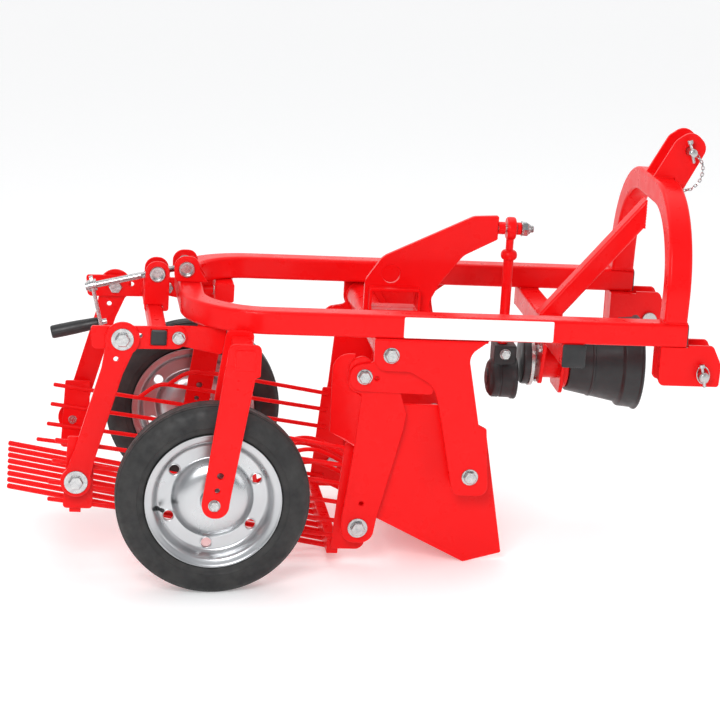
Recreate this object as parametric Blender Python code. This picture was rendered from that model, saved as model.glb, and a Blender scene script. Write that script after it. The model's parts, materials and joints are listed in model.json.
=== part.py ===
"""A one-row vibrating potato digger, carried on a small tractor's three-point linkage.

A bent square tube carries a hitch arch at the front, two ground wheels and a fixed share. The power take-off
shaft lifts a rod and a rocker, whose two swing arms shake the sieve behind the share. A hand crank at the rear
raises the arms that hang the sieve's rear end.

Every place is in metres in the machine's own frame, square to its rails: +X forwards to the tractor, +Y to the
left, +Z up, with the origin on the wheels' axle line, halfway between them. An empty then pitches the whole
machine so that its wheels and its share stand on the ground.
"""

import math

import bmesh
import bpy
from mathutils import Matrix, Vector
from mathutils.geometry import tessellate_polygon

# Clearances
GAP = 0.0003  # between pieces that touch
RUNNING = 0.003  # beside a pivot, between pieces that turn on it
PIN_PLAY = 0.0005  # radial, of a pin in its own hole
OPEN_PLAY = 0.002  # radial, where a closed linkage is opened

# Wheels
WHEEL_RADIUS = 0.200
TYRE_WIDTH = 0.080
RIM_RADIUS = 0.139
HUB_RADIUS = 0.026
WHEEL_OFFSET = 0.368  # from the middle of the machine to the middle of a tyre
AXLE_RADIUS = 0.008
HUB_HALF = 0.054
FORK_PLATE = 0.008

# Main frame: one square tube bent into a U, open to the front
RAIL = 0.050
RAIL_WALL = 0.004
RAIL_CORNER = 0.006
RAIL_OFFSET = 0.270
RAIL_BOTTOM = 0.3265
RAIL_FRONT = 0.985
FRAME_REAR = -0.068
BEND_RADIUS = 0.150
RAIL_TOP = RAIL_BOTTOM + RAIL
RAIL_MIDDLE = RAIL_BOTTOM + RAIL / 2
RAIL_OUTSIDE = RAIL_OFFSET + RAIL / 2
RAIL_INSIDE = RAIL_OFFSET - RAIL / 2

# Hitch
ARCH_HEIGHT = 0.642  # top of the crown
ARCH_SHOULDER = 0.190  # radius of the bends
ARCH_LEAN = math.radians(1.5)
ARCH_FRONT = RAIL_FRONT - 0.001
TOP_PLATE_SPACING = 0.070
TOP_PLATE = 0.008
TOP_PIN = (1.020, 0.702)
TOP_PIN_RADIUS = 0.0095
TOP_EYE_RADIUS = 0.030
LOWER_PIN = (1.024, 0.268)
LOWER_PIN_RADIUS = 0.011
LOWER_PLATE = 0.008
LOWER_GAP = 0.052  # between a lower hitch bracket's two plates

# Cross tube, brace and power take-off
CROSS_TUBE_REAR = 0.722
BRACE = 0.040
BRACE_HEAD = 0.556  # height at which the brace meets the arch
PTO_HEIGHT = 0.2215
PTO_RADIUS = 0.0175
DISC_RADIUS = 0.058
DISC_REAR = 0.690
GUARD_REAR = 0.790
GUARD_FRONT = 0.948

# Share
SUPPORT_PLATE = 0.010
SHARE_PLATE = 0.008
SHARE_OFFSET = 0.250  # outer faces of its side plates
SHARE_POINT = (0.550, -0.1675)  # what stands on the ground
SHARE_BOLT = (0.545, 0.033)

# Shaker: a rocker on a cross shaft, with a swing arm on each side
ROCKER = (0.363, 0.291)
SHAFT_RADIUS = 0.030
ROCKER_PIN_RADIUS = 0.0085
ROCKER_PLATE = 0.012
ROCKER_TIP = 0.620  # how far forward the rocker plate reaches
ROD_EYE = (0.648, 0.511)
ROD_RADIUS = 0.011
EYE_BOLT_RADIUS = 0.008
LEVER_PLATE = 0.008
LEVER_OFFSET = 0.2785  # outer face
ARM_PLATE = 0.008
LEVER_BOLT = (0.312, 0.240)
HOUSING_RADIUS = 0.044
HOUSING_HEIGHT = 0.178

# Sieve
FRONT_PIVOT = (0.317, -0.091)
REAR_BOLT = (-0.277, -0.008)
SIEVE_PIN_RADIUS = 0.010
SIDE_ROD = 0.0095  # diameter of the rods along its sides
GRATE_ROD = 0.0105  # and of those under the crop
ROD_COUNT = 8
ROD_SPREAD = 0.165  # of the outermost bottom rods, each side of the middle
GRATE_REAR = (-0.416, -0.048)
GRATE_FRONT = (0.285, -0.167)
SIDE_GUARDS = {  # kinked rods that raise each side, the upper one welded to the lower
    "lower": ((-0.131, 0.048), (-0.086, 0.083), (0.296, 0.032)),
    "upper": ((-0.066, 0.080), (-0.022, 0.112), (0.050, 0.108), (0.296, 0.070)),
}
SIEVE_PLATE = 0.006
SIEVE_OFFSET = 0.236  # outer faces of its brackets

# Rear arms, links and crank
ARM_PIVOT = (-0.076, 0.304)
LINK_TOP = (-0.192, 0.300)
REAR_ARM_OFFSET = 0.250  # outer faces
REAR_PLATE = 0.008
LINK_WIDTH = 0.046
LINK_TOP_EYE = 0.036
LINK_FOOT_EYE = 0.032
CROSS_BAR = (-0.117, 0.304)
CROSS_BAR_SIZE = 0.034
POST_TRUNNION = (-0.113, 0.388)
FRAME_TRUNNION = (-0.052, 0.403)
TRUNNION_RADIUS = 0.016
SCREW_RADIUS = 0.007
POST_LUG_GAP = 0.040
FRAME_LUG_GAP = 0.064
LUG_PLATE = 0.006

ROUND = 16  # sides of a pin or a small round piece
SIDES = {"right": -1, "left": 1}


# --- The scene, materials and the machine's frame ---


def clear_scene():
    for obj in list(bpy.data.objects):
        bpy.data.objects.remove(obj)


def material(name, colour, roughness, metallic=0.0):
    made = bpy.data.materials.new(name)
    made.use_nodes = True
    shader = made.node_tree.nodes["Principled BSDF"]
    shader.inputs["Base Color"].default_value = (*colour, 1.0)
    shader.inputs["Roughness"].default_value = roughness
    shader.inputs["Metallic"].default_value = metallic
    return made


def empty(name, place, parent=None):
    made = bpy.data.objects.new(name, None)
    bpy.context.scene.collection.objects.link(made)
    made.location = place
    made.parent = parent
    return made


def parked_pitch():
    """The angle, nose down, at which the wheels and the share's point stand on one level."""
    ahead, up = SHARE_POINT
    return math.asin(WHEEL_RADIUS / math.hypot(ahead, up)) - math.atan2(-up, ahead)


clear_scene()
RED = material("red_paint", (0.62, 0.012, 0.010), 0.30)
BLACK = material("black_plastic", (0.012, 0.012, 0.013), 0.45)
RUBBER = material("rubber", (0.020, 0.020, 0.020), 0.80)
ZINC = material("zinc_plate", (0.62, 0.63, 0.65), 0.32, 1.0)
STEEL = material("bright_steel", (0.55, 0.55, 0.56), 0.28, 1.0)

MACHINE = empty("machine", (0.0, 0.0, WHEEL_RADIUS))
MACHINE.rotation_euler = (0.0, parked_pitch(), 0.0)


def pivot(name, at, offset=0.0):
    return empty(name, (at[0], offset, at[1]), MACHINE)


# --- Shapes ---


def placed(name, mesh, paint, carrier=None):
    """An object made of this mesh, drawn in the machine's frame and carried by the machine or a pivot."""
    carrier = carrier or MACHINE
    for face in mesh.faces:
        face.smooth = True
    bmesh.ops.recalc_face_normals(mesh, faces=mesh.faces)
    data = bpy.data.meshes.new(name)
    mesh.to_mesh(data)
    mesh.free()
    data.set_sharp_from_angle(angle=math.radians(35))
    data.materials.append(paint)
    made = bpy.data.objects.new(name, data)
    bpy.context.scene.collection.objects.link(made)
    made.parent = carrier
    if carrier is not MACHINE:
        made.matrix_parent_inverse = Matrix.Translation(-carrier.location)
    return made


def combine(obj, tool, operation):
    """Unites the tool with the object, or cuts it away."""
    tool.hide_render = True
    tool.display_type = "WIRE"
    step = obj.modifiers.new(tool.name, "BOOLEAN")
    step.operation = operation
    step.object = tool


def rounded(corners, steps=3):
    """The outline through corners of (across, up, fillet radius), with each fillet as an arc."""
    outline = []
    for index, (across, up, radius) in enumerate(corners):
        corner = Vector((across, up))
        before = (Vector(corners[index - 1][:2]) - corner).normalized()
        after = (Vector(corners[(index + 1) % len(corners)][:2]) - corner).normalized()
        half = before.angle(after) / 2
        if radius <= 0 or half > math.radians(87):
            outline.append(corner)
            continue
        start = corner + before * radius / math.tan(half)
        end = corner + after * radius / math.tan(half)
        centre = corner + (before + after).normalized() * radius / math.sin(half)
        first = start - centre
        turn = first.angle_signed(end - centre)
        for step in range(steps + 1):
            outline.append(centre + Matrix.Rotation(-turn * step / steps, 2) @ first)
    return outline


def circle(centre, radius, count=ROUND):
    turns = [2 * math.pi * step / count for step in range(count)]
    return [Vector((centre[0] + radius * math.cos(t), centre[1] + radius * math.sin(t))) for t in turns]


def arc(centre, radius, towards, count):
    """Three quarters of a circle, with its middle towards a direction, anticlockwise."""
    first = math.atan2(towards.y, towards.x) - math.radians(125)
    turns = [first + math.radians(250) * step / count for step in range(count + 1)]
    return [centre + Vector((radius * math.cos(turn), radius * math.sin(turn))) for turn in turns]


def box(left, low, right, high, fillet=0.0, steps=2):
    return rounded([(left, low, fillet), (right, low, fillet), (right, high, fillet), (left, high, fillet)], steps)


def on_plane(axis, along, point):
    """The place of a flat outline's point on the plane square to axis, at this distance along it."""
    if axis == "X":
        return Vector((along, point[0], point[1]))
    if axis == "Y":
        return Vector((point[0], along, point[1]))
    return Vector((point[0], point[1], along))


def add_prism(mesh, outline, axis, low, high, holes=()):
    """A flat shape with holes, square to an axis, from low to high along it."""
    loops = [outline, *holes]
    flat = [point for loop in loops for point in loop]
    triangles = tessellate_polygon([[Vector((*point, 0.0)) for point in loop] for loop in loops])
    bottom = [mesh.verts.new(on_plane(axis, low, point)) for point in flat]
    top = [mesh.verts.new(on_plane(axis, high, point)) for point in flat]
    for a, b, c in triangles:
        mesh.faces.new((bottom[c], bottom[b], bottom[a]))
        mesh.faces.new((top[a], top[b], top[c]))
    first = 0
    for loop in loops:
        count = len(loop)
        for step in range(count):
            a, b = first + step, first + (step + 1) % count
            mesh.faces.new((bottom[a], bottom[b], top[b], top[a]))
        first += count


def prism(name, outline, axis, low, high, paint, holes=(), carrier=None):
    mesh = bmesh.new()
    add_prism(mesh, outline, axis, low, high, holes)
    return placed(name, mesh, paint, carrier)


def side_plate(name, side, outline, outer, thickness, paint, holes=(), carrier=None):
    """A plate square to Y, whose outer face is this far from the middle on its side."""
    faces = sorted((side * outer, side * (outer - thickness)))
    return prism(name, outline, "Y", faces[0], faces[1], paint, holes, carrier)


def add_rings(mesh, rings, closed=False):
    """A skin over rings of points. Its ends are capped, unless the last ring joins the first."""
    rows = [[mesh.verts.new(point) for point in ring] for ring in rings]
    count = len(rows[0])
    for row, following in zip(rows, rows[1:] + (rows[:1] if closed else [])):
        for step in range(count):
            after = (step + 1) % count
            mesh.faces.new((row[step], row[after], following[after], following[step]))
    if not closed:
        mesh.faces.new(rows[0][::-1])
        mesh.faces.new(rows[-1])


def add_turned(mesh, profile, base, direction, sides=ROUND):
    """A solid turned about an axis, from a profile of (along, radius) that starts and ends on the axis."""
    spin = Vector(direction).to_track_quat("Z", "Y").to_matrix()
    rows = []
    for along, radius in profile:
        if radius <= 0:
            rows.append([mesh.verts.new(Vector(base) + spin @ Vector((0, 0, along)))])
            continue
        ring = [spin @ Vector((*point, along)) for point in circle((0, 0), radius, sides)]
        rows.append([mesh.verts.new(Vector(base) + point) for point in ring])
    for row, following in zip(rows, rows[1:]):
        for step in range(sides):
            after = (step + 1) % sides
            corners = [row[step % len(row)], row[after % len(row)]]
            corners += [following[after % len(following)], following[step % len(following)]]
            mesh.faces.new(list(dict.fromkeys(corners)))


def turned(name, profile, base, direction, paint, sides=ROUND, carrier=None):
    mesh = bmesh.new()
    add_turned(mesh, profile, base, direction, sides)
    return placed(name, mesh, paint, carrier)


def ring_turned(name, profile, base, direction, paint, sides=ROUND, carrier=None):
    """A ring turned about an axis, from a closed profile of (along, radius)."""
    spin = Vector(direction).to_track_quat("Z", "Y").to_matrix()
    rings = []
    for along, radius in profile:
        ring = [spin @ Vector((*point, along)) for point in circle((0, 0), radius, sides)]
        rings.append([Vector(base) + point for point in ring])
    mesh = bmesh.new()
    add_rings(mesh, rings, closed=True)
    return placed(name, mesh, paint, carrier)


def cylinder(length, radius):
    return [(0.0, 0.0), (0.0, radius), (length, radius), (length, 0.0)]


def path_frames(points, normal):
    """For each point of a flat path: the point, the way across it in its plane, and the plane's normal."""
    frames = []
    for index, point in enumerate(points):
        before = points[max(index - 1, 0)]
        after = points[min(index + 1, len(points) - 1)]
        across = (after - before).normalized().cross(normal).normalized()
        frames.append((point, across, normal))
    return frames


def section_rings(points, normal, section, cuts=(None, None)):
    """A section of (across, up) points carried along a path. A cut is the plane (point, normal) of an end."""
    rings = []
    for point, across, up in path_frames(points, normal):
        rings.append([point + across * a + up * b for a, b in section])
    for end, plane in zip((0, -1), cuts):
        if plane is None:
            continue
        along = (points[1] - points[0] if end == 0 else points[-1] - points[-2]).normalized()
        place, facing = plane
        rings[end] = [p + along * ((place - p).dot(facing) / along.dot(facing)) for p in rings[end]]
    return rings


def hollow_tube(name, points, normal, width, height, wall, paint, cuts=(None, None), carrier=None):
    """A square or flat tube with open ends, bent along a path."""
    across, up = width / 2, height / 2
    outside = box(-across, -up, across, up, RAIL_CORNER, 1)
    inner_corner = max(RAIL_CORNER - wall, 0.001)
    inside = box(wall - across, wall - up, across - wall, up - wall, inner_corner, 1)
    outer = section_rings(points, normal, outside, cuts)
    inner = section_rings(points, normal, inside, cuts)
    mesh = bmesh.new()
    skin = [[mesh.verts.new(point) for point in ring] for ring in outer]
    bore = [[mesh.verts.new(point) for point in ring] for ring in inner]
    count = len(outside)
    for step in range(count):
        after = (step + 1) % count
        for row, following in zip(skin, skin[1:]):
            mesh.faces.new((row[step], row[after], following[after], following[step]))
        for row, following in zip(bore, bore[1:]):
            mesh.faces.new((row[after], row[step], following[step], following[after]))
        for outer_row, inner_row in ((skin[0], bore[0]), (skin[-1], bore[-1])):
            mesh.faces.new((outer_row[step], outer_row[after], inner_row[after], inner_row[step]))
    return placed(name, mesh, paint, carrier)


def add_rod(mesh, points, radius, sides=6):
    """A round rod along a path of straight stretches in one upright plane."""
    rings = []
    for index, point in enumerate(points):
        before = (point - points[index - 1]).normalized() if index else None
        after = (points[index + 1] - point).normalized() if index + 1 < len(points) else None
        along = ((before or after) + (after or before)).normalized()
        side = along.cross(Vector((0, 1, 0))).normalized()
        stretch = 1.0 if before is None or after is None else 1 / max(along.dot(after), 0.3)
        other = along.cross(side).normalized()
        rings.append([point + side * a * stretch + other * b for a, b in circle((0, 0), radius, sides)])
    add_rings(mesh, rings)


def lerp(start, end, share):
    return start + (end - start) * share


# --- Main frame and hitch ---


def frame_path():
    rear = FRAME_REAR + RAIL / 2
    points = [Vector((RAIL_FRONT, -RAIL_OFFSET, RAIL_MIDDLE))]
    for side in (-1, 1):
        for step in range(8):
            turn = math.radians(90) * step / 7
            if side < 0:
                x = rear + BEND_RADIUS * (1 - math.sin(turn))
                y = -RAIL_OFFSET + BEND_RADIUS * (1 - math.cos(turn))
            else:
                x = rear + BEND_RADIUS * (1 - math.cos(turn))
                y = RAIL_OFFSET - BEND_RADIUS * (1 - math.sin(turn))
            points.append(Vector((x, y, RAIL_MIDDLE)))
    points.append(Vector((RAIL_FRONT, RAIL_OFFSET, RAIL_MIDDLE)))
    return points


def arch_frame():
    """The arch's foot, and its own up and across directions: it leans forwards a little."""
    foot = Vector((ARCH_FRONT - RAIL / 2, 0.0, RAIL_TOP + GAP))
    return foot, Vector((math.sin(ARCH_LEAN), 0.0, math.cos(ARCH_LEAN)))


def make_main_frame():
    hollow_tube("main_frame", frame_path(), Vector((0, 0, 1)), RAIL, RAIL, RAIL_WALL, RED)


def make_arch():
    foot, up = arch_frame()
    crown = ARCH_HEIGHT - RAIL_TOP - RAIL / 2
    half = RAIL_OFFSET - 0.002
    leg = crown - ARCH_SHOULDER
    flat = half - ARCH_SHOULDER
    shape = [(-half, 0.0)]
    for step in range(8):
        turn = math.radians(90) * step / 7
        shape.append((-flat - ARCH_SHOULDER * math.cos(turn), leg + ARCH_SHOULDER * math.sin(turn)))
    shape += [(-across, rise) for across, rise in reversed(shape)]
    points = [foot + Vector((0, across, 0)) + up * rise for across, rise in shape]
    level = Vector((0, 0, 1))
    cuts = tuple((foot, level) for _ in range(2))
    normal = up.cross(Vector((0, 1, 0))).normalized()
    hollow_tube("hitch_arch", points, normal, RAIL, RAIL, RAIL_WALL, RED, cuts)


def on_arch(forward, rise):
    """The place (x, z) on the leaning arch, forward of its tube's middle and above the rails."""
    lean, upright = math.sin(ARCH_LEAN), math.cos(ARCH_LEAN)
    return ARCH_FRONT - RAIL / 2 + forward * upright + rise * lean, RAIL_TOP + rise * upright - forward * lean


def make_top_link():
    x, z = TOP_PIN
    r = TOP_EYE_RADIUS
    reach = RAIL / 2 + GAP
    crown = ARCH_HEIGHT - RAIL_TOP + 2 * GAP
    foot = crown - 0.042
    behind = on_arch(-RAIL / 2 + 0.004, crown)
    ahead = on_arch(reach, foot)
    outline = rounded([
        (*behind, 0.0),
        (x - r * 1.05, z + r * 0.72, r * 0.9),
        (x + r * 0.15, z + r * 1.55, r * 0.9),
        (x + r * 1.35, z + r * 0.35, r * 0.9),
        (ahead[0] + 0.013, ahead[1], 0.004),
        (*ahead, 0.0),
        (*on_arch(reach, crown), 0.0),
    ])
    for name, side in SIDES.items():
        hole = circle(TOP_PIN, TOP_PIN_RADIUS + GAP)
        outer = TOP_PLATE_SPACING / 2 + TOP_PLATE / 2
        side_plate(f"top_link_plate_{name}", side, outline, outer, TOP_PLATE, RED, [hole])
    reach = TOP_PLATE_SPACING / 2 + TOP_PLATE / 2
    head = 0.016
    profile = [(0, 0), (0, head), (0.008, head), (0.008, TOP_PIN_RADIUS)]
    end = 2 * reach + 0.034
    profile += [(end - 0.004, TOP_PIN_RADIUS), (end, TOP_PIN_RADIUS - 0.003), (end, 0)]
    start = (x, reach + 0.008 + GAP, z)
    turned("top_link_pin", profile, start, (0, -1, 0), STEEL)


def make_lower_hitch():
    x, z = LOWER_PIN
    web_rear = 0.932
    top = RAIL_BOTTOM - GAP
    nose = RAIL_FRONT + 0.006
    plate = rounded([
        (web_rear, top, 0.0),
        (web_rear, 0.243, 0.012),
        (x + 0.038, 0.243, 0.006),
        (x + 0.040, z + 0.022, 0.012),
        (x + 0.020, top + 0.005, 0.010),
        (nose, top + 0.005, 0.0),
        (nose, top, 0.0),
    ])
    hole = circle(LOWER_PIN, LOWER_PIN_RADIUS + GAP)
    outside = RAIL_OUTSIDE - 0.003
    inner_face = outside - 2 * LOWER_PLATE - LOWER_GAP
    for name, side in SIDES.items():
        bracket = side_plate(f"lower_hitch_bracket_{name}", side, plate, outside, LOWER_PLATE, RED, [hole])
        inner = side_plate(f"lower_hitch_inner_{name}", side, plate, inner_face + LOWER_PLATE, LOWER_PLATE, RED, [hole])
        web = side_plate(
            f"lower_hitch_web_{name}", side, box(web_rear, 0.250, web_rear + 0.050, top),
            outside - 0.002, outside - inner_face - 0.004, RED,
        )
        combine(bracket, web, "UNION")
        combine(bracket, inner, "UNION")
        start = (x, side * (inner_face - 0.010 - GAP), z)
        end = outside - inner_face + 0.010 + 0.026
        profile = [(0, 0), (0, 0.017), (0.010, 0.017), (0.010, LOWER_PIN_RADIUS)]
        profile += [(end - 0.004, LOWER_PIN_RADIUS), (end, LOWER_PIN_RADIUS - 0.004), (end, 0)]
        turned(f"lower_link_pin_{name}", profile, start, (0, side, 0), STEEL)


def cross_tube_box():
    """The cross tube's rear, low, front and high faces."""
    return CROSS_TUBE_REAR, RAIL_BOTTOM - GAP - RAIL, CROSS_TUBE_REAR + RAIL, RAIL_BOTTOM - GAP


def make_cross_tube():
    rear, low, front, high = cross_tube_box()
    middle = ((rear + front) / 2, (low + high) / 2)
    ends = [Vector((middle[0], side * (RAIL_OUTSIDE - 0.002), middle[1])) for side in (-1, 1)]
    hollow_tube("cross_tube", ends, Vector((0, 0, 1)), RAIL, RAIL, RAIL_WALL, RED)


def make_brace():
    rear, _, front, high = cross_tube_box()
    foot = Vector(((rear + front) / 2, 0.0, high + GAP))
    head_x, head_z = on_arch(-RAIL / 2 - GAP, BRACE_HEAD - RAIL_TOP)
    head = Vector((head_x, 0.0, head_z))
    cuts = ((foot, Vector((0, 0, 1))), (head, Vector((math.cos(ARCH_LEAN), 0.0, -math.sin(ARCH_LEAN)))))
    hollow_tube("brace", [foot, head], Vector((0, 1, 0)), BRACE, BRACE, 0.003, RED, cuts)


# --- Power take-off ---


def make_pto():
    rear, low, front, _ = cross_tube_box()
    top = low - GAP
    plate_bottom = PTO_HEIGHT - 0.080
    hanger = rounded([
        (-0.085, top, 0.0), (0.085, top, 0.0), (0.050, plate_bottom, 0.012), (-0.050, plate_bottom, 0.012),
    ])
    bore = circle((0, PTO_HEIGHT), PTO_RADIUS + PIN_PLAY, 20)
    bracket = prism("pto_bracket", hanger, "X", rear + 0.002, rear + 0.010, RED, [bore])
    front_plate = prism("pto_front_plate", hanger, "X", front - 0.002, front + 0.006, RED, [bore])
    tube = prism("pto_bearing_tube", circle((0, PTO_HEIGHT), 0.040, 20), "X", rear + 0.008, front + 0.005, RED, [bore])
    seat = prism("pto_guard_seat", circle((0, PTO_HEIGHT), 0.060, 20), "X", front + 0.001, GUARD_REAR - GAP, RED,
                 [bore])
    combine(bracket, tube, "UNION")
    combine(bracket, seat, "UNION")
    combine(bracket, front_plate, "UNION")

    wall = 0.003
    outside = [
        (GUARD_REAR, 0.066), (0.903, 0.089), (0.908, 0.097), (0.941, 0.100), (0.943, 0.104), (GUARD_FRONT, 0.104),
    ]
    inside = [(along, radius - wall - 0.001) for along, radius in reversed(outside[1:])]
    inside += [(GUARD_REAR + wall, 0.066 - wall), (GUARD_REAR + wall, 0.045), (GUARD_REAR, 0.045)]
    ring_turned("pto_guard", outside + inside, (0, 0, PTO_HEIGHT), (1, 0, 0), BLACK, 24)

    spin = pivot("pto_pivot", (DISC_REAR, PTO_HEIGHT))
    stub_end = 0.905
    profile = [
        (0, 0), (0, DISC_RADIUS), (0.024, DISC_RADIUS), (0.024, PTO_RADIUS),
        (stub_end - DISC_REAR - 0.004, PTO_RADIUS), (stub_end - DISC_REAR, PTO_RADIUS - 0.003),
        (stub_end - DISC_REAR, 0),
    ]
    turned("pto_shaft", profile, (DISC_REAR, 0, PTO_HEIGHT), (1, 0, 0), STEEL, 24, spin)


# --- Share ---


def make_share():
    x, z = ROCKER
    support = rounded([
        (x - 0.036, RAIL_BOTTOM - GAP, 0.0),
        (x - 0.036, z - 0.034, 0.030),
        (0.405, z - 0.034, 0.030),
        (0.455, 0.228, 0.040),
        (0.468, 0.190, 0.010),
        (0.507, 0.010, 0.0),
        (0.513, -0.008, 0.020),
        (0.586, -0.008, 0.020),
        (0.574, 0.138, 0.004),
        (0.557, 0.143, 0.004),
        (0.526, 0.296, 0.030),
        (0.566, RAIL_BOTTOM - GAP, 0.0),
    ])
    bolt_radius = 0.008
    side_shape = rounded([
        (0.398, 0.176, 0.0), (0.480, 0.176, 0.010), (0.580, 0.127, 0.008), (0.631, -0.145, 0.004),
        (*SHARE_POINT, 0.006), (0.352, -0.0715, 0.010),
    ])
    rise = math.atan2(-0.0715 - SHARE_POINT[1], SHARE_POINT[0] - 0.352)
    up_slope = Vector((-math.cos(rise), math.sin(rise)))
    off_slope = Vector((math.sin(rise), math.cos(rise)))
    edge = Vector(SHARE_POINT) + up_slope * 0.004 + off_slope * 0.0025
    thick = 0.010
    length = 0.178
    blade = [edge, edge + up_slope * 0.030 + off_slope * thick, edge + up_slope * length + off_slope * thick,
             edge + up_slope * length]
    for name, side in SIDES.items():
        plate = side_plate(
            f"share_support_{name}", side, support, RAIL_OUTSIDE - 0.001, SUPPORT_PLATE, RED,
            [circle(ROCKER, ROCKER_PIN_RADIUS + GAP)],
        )
        inner = RAIL_OUTSIDE - 0.001 - SUPPORT_PLATE
        sleeve = side_plate(f"share_sleeve_{name}", side, circle(SHARE_BOLT, 0.016), inner + 0.002,
                            inner + 0.002 - SHARE_OFFSET - GAP, RED)
        combine(plate, sleeve, "UNION")
        side_plate(f"share_side_{name}", side, side_shape, SHARE_OFFSET, SHARE_PLATE, RED,
                   [circle(SHARE_BOLT, bolt_radius)])
    reach = SHARE_OFFSET - SHARE_PLATE - GAP
    prism("share_blade", blade, "Y", -reach, reach, RED)


# --- Shaker ---


def make_wing(side, outer, swing):
    """The folded sheet behind the right swing arm, which leans in from the arm's rear edge."""
    fold, lean = 0.304, 0.5
    outline = rounded([
        (0.312, 0.090, 0.0), (fold, 0.085, 0.0), (0.250, 0.110, 0.004), (0.248, 0.284, 0.040), (0.292, 0.284, 0.0),
        (0.292, 0.205, 0.0), (fold, 0.199, 0.0), (0.312, 0.195, 0.0),
    ])
    mesh = bmesh.new()
    faces = sorted((side * outer, side * (outer - 0.006)))
    add_prism(mesh, outline, "Y", faces[0], faces[1])
    for vertex in mesh.verts:
        vertex.co.y -= side * lean * max(fold - vertex.co.x, 0)
    return placed("swing_arm_wing", mesh, RED, swing)


def make_rocker():
    swing = pivot("rocker_pivot", ROCKER)
    x, z = ROCKER
    reach = LEVER_OFFSET - LEVER_PLATE
    bore = ROCKER_PIN_RADIUS + PIN_PLAY
    shaft_end = LEVER_OFFSET - LEVER_PLATE - GAP
    ring_turned("rocker_shaft", [(0, SHAFT_RADIUS), (0, bore), (2 * shaft_end, bore), (2 * shaft_end, SHAFT_RADIUS)],
                (x, -shaft_end, z), (0, 1, 0), RED, 24, swing)
    plate = rounded([
        (0.336, 0.300, 0.004), (0.336, 0.386, 0.030), (0.372, 0.440, 0.045), (0.566, 0.535, 0.030),
        (ROCKER_TIP, 0.538, 0.004), (ROCKER_TIP, 0.486, 0.004), (0.548, 0.448, 0.040), (0.500, 0.385, 0.030),
        (0.478, 0.340, 0.020), (0.492, 0.300, 0.012), (0.430, 0.262, 0.030), (0.350, 0.262, 0.028),
    ])
    half = ROCKER_PLATE / 2
    prism("rocker_plate", plate, "Y", -half, half, RED,
          [circle(ROCKER, SHAFT_RADIUS + GAP, 24), circle((0.392, 0.402), 0.020)], swing)
    for name, side in SIDES.items():
        pin = [(0, 0), (0, 0.014), (0.009, 0.014), (0.009, ROCKER_PIN_RADIUS)]
        length = 0.009 + SUPPORT_PLATE + 0.060
        pin += [(length, ROCKER_PIN_RADIUS), (length, 0)]
        turned(f"rocker_pin_{name}", pin, (x, side * (RAIL_OUTSIDE - 0.001 + GAP + 0.009), z), (0, -side, 0), ZINC)
        bar = rounded([
            (LEVER_BOLT[0] - 0.031, 0.262, 0.026), (LEVER_BOLT[0] - 0.031, 0.209, 0.026), (0.455, 0.205, 0.006),
            (0.462, 0.225, 0.010), (0.400, 0.315, 0.025), (0.334, 0.315, 0.022), (0.330, 0.271, 0.010),
        ])
        side_plate(f"rocker_lever_{name}", side, bar, LEVER_OFFSET, LEVER_PLATE, RED,
                   [circle(ROCKER, bore), circle(LEVER_BOLT, 0.0085), circle((0.338, 0.237), 0.005, 8)], swing)
        arm = rounded([
            (0.301, 0.092, 0.0), (0.309, 0.200, 0.008), (0.279, 0.210, 0.022), (0.279, 0.275, 0.030),
            (0.322, 0.285, 0.020), (0.331, 0.248, 0.004), (0.391, 0.248, 0.0), (0.391, 0.203, 0.0),
            (0.406, 0.160, 0.004), (0.401, 0.123, 0.0), (0.356, -0.070, 0.030), (0.348, -0.124, 0.028),
            (0.284, -0.124, 0.028), (0.282, -0.075, 0.0),
        ])
        arm_outer = reach - GAP
        plate = side_plate(f"swing_arm_{name}", side, arm, arm_outer, ARM_PLATE, RED,
                           [circle(LEVER_BOLT, 0.0085), circle(FRONT_PIVOT, SIEVE_PIN_RADIUS + PIN_PLAY),
                            circle((0.322, -0.038), 0.005, 8)], swing)
        if name == "right":
            combine(plate, make_wing(side, arm_outer, swing), "UNION")
    eye_z = ROD_EYE[1]
    bolt = [(0, 0), (0, 0.014), (0.010, 0.014), (0.010, EYE_BOLT_RADIUS), (0.066, EYE_BOLT_RADIUS), (0.066, 0.012),
            (0.078, 0.012), (0.078, 0)]
    start = ROCKER_TIP + GAP
    turned("rod_eye_bolt", bolt, (start, 0, eye_z), (1, 0, 0), ZINC, ROUND, swing)


def make_connecting_rod():
    carrier = pivot("rod_pivot", ROD_EYE)
    x, z = ROD_EYE
    eye_half = 0.010
    foot = 0.2555
    mesh = bmesh.new()
    add_turned(mesh, [
        (0, 0), (0, ROD_RADIUS), (0.188, ROD_RADIUS), (0.190, 0.017), (0.206, 0.017), (0.208, 0.009),
        (z - foot - 0.012, 0.009), (z - foot - 0.012, 0),
    ], (x, 0, foot), (0, 0, 1))
    rod = placed("connecting_rod", mesh, RED, carrier)
    bore = EYE_BOLT_RADIUS + PIN_PLAY
    eye = prism("rod_eye", circle((0, z), 0.017, 28), "X", x - eye_half, x + eye_half, RED,
                [circle((0, z), bore, 28)], carrier)
    combine(rod, eye, "UNION")
    housing_front = DISC_REAR - 0.009
    housing_rear = 0.616
    radius = HOUSING_RADIUS
    span = housing_front - housing_rear
    body = turned("crank_housing", [
        (0, 0), (0, radius - 0.010), (0.010, radius - 0.001), (span - 0.010, radius), (span - 0.009, radius + 0.003),
        (span, radius + 0.003), (span, 0),
    ], (housing_rear, 0, HOUSING_HEIGHT), (1, 0, 0), BLACK, 24, carrier)
    clamp = prism("crank_clamp", box(-0.026, HOUSING_HEIGHT + 0.020, 0.026, foot - GAP, 0.004), "X", 0.627, 0.676,
                  BLACK, (), carrier)
    combine(body, clamp, "UNION")
    return carrier


# --- Sieve ---


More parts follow.
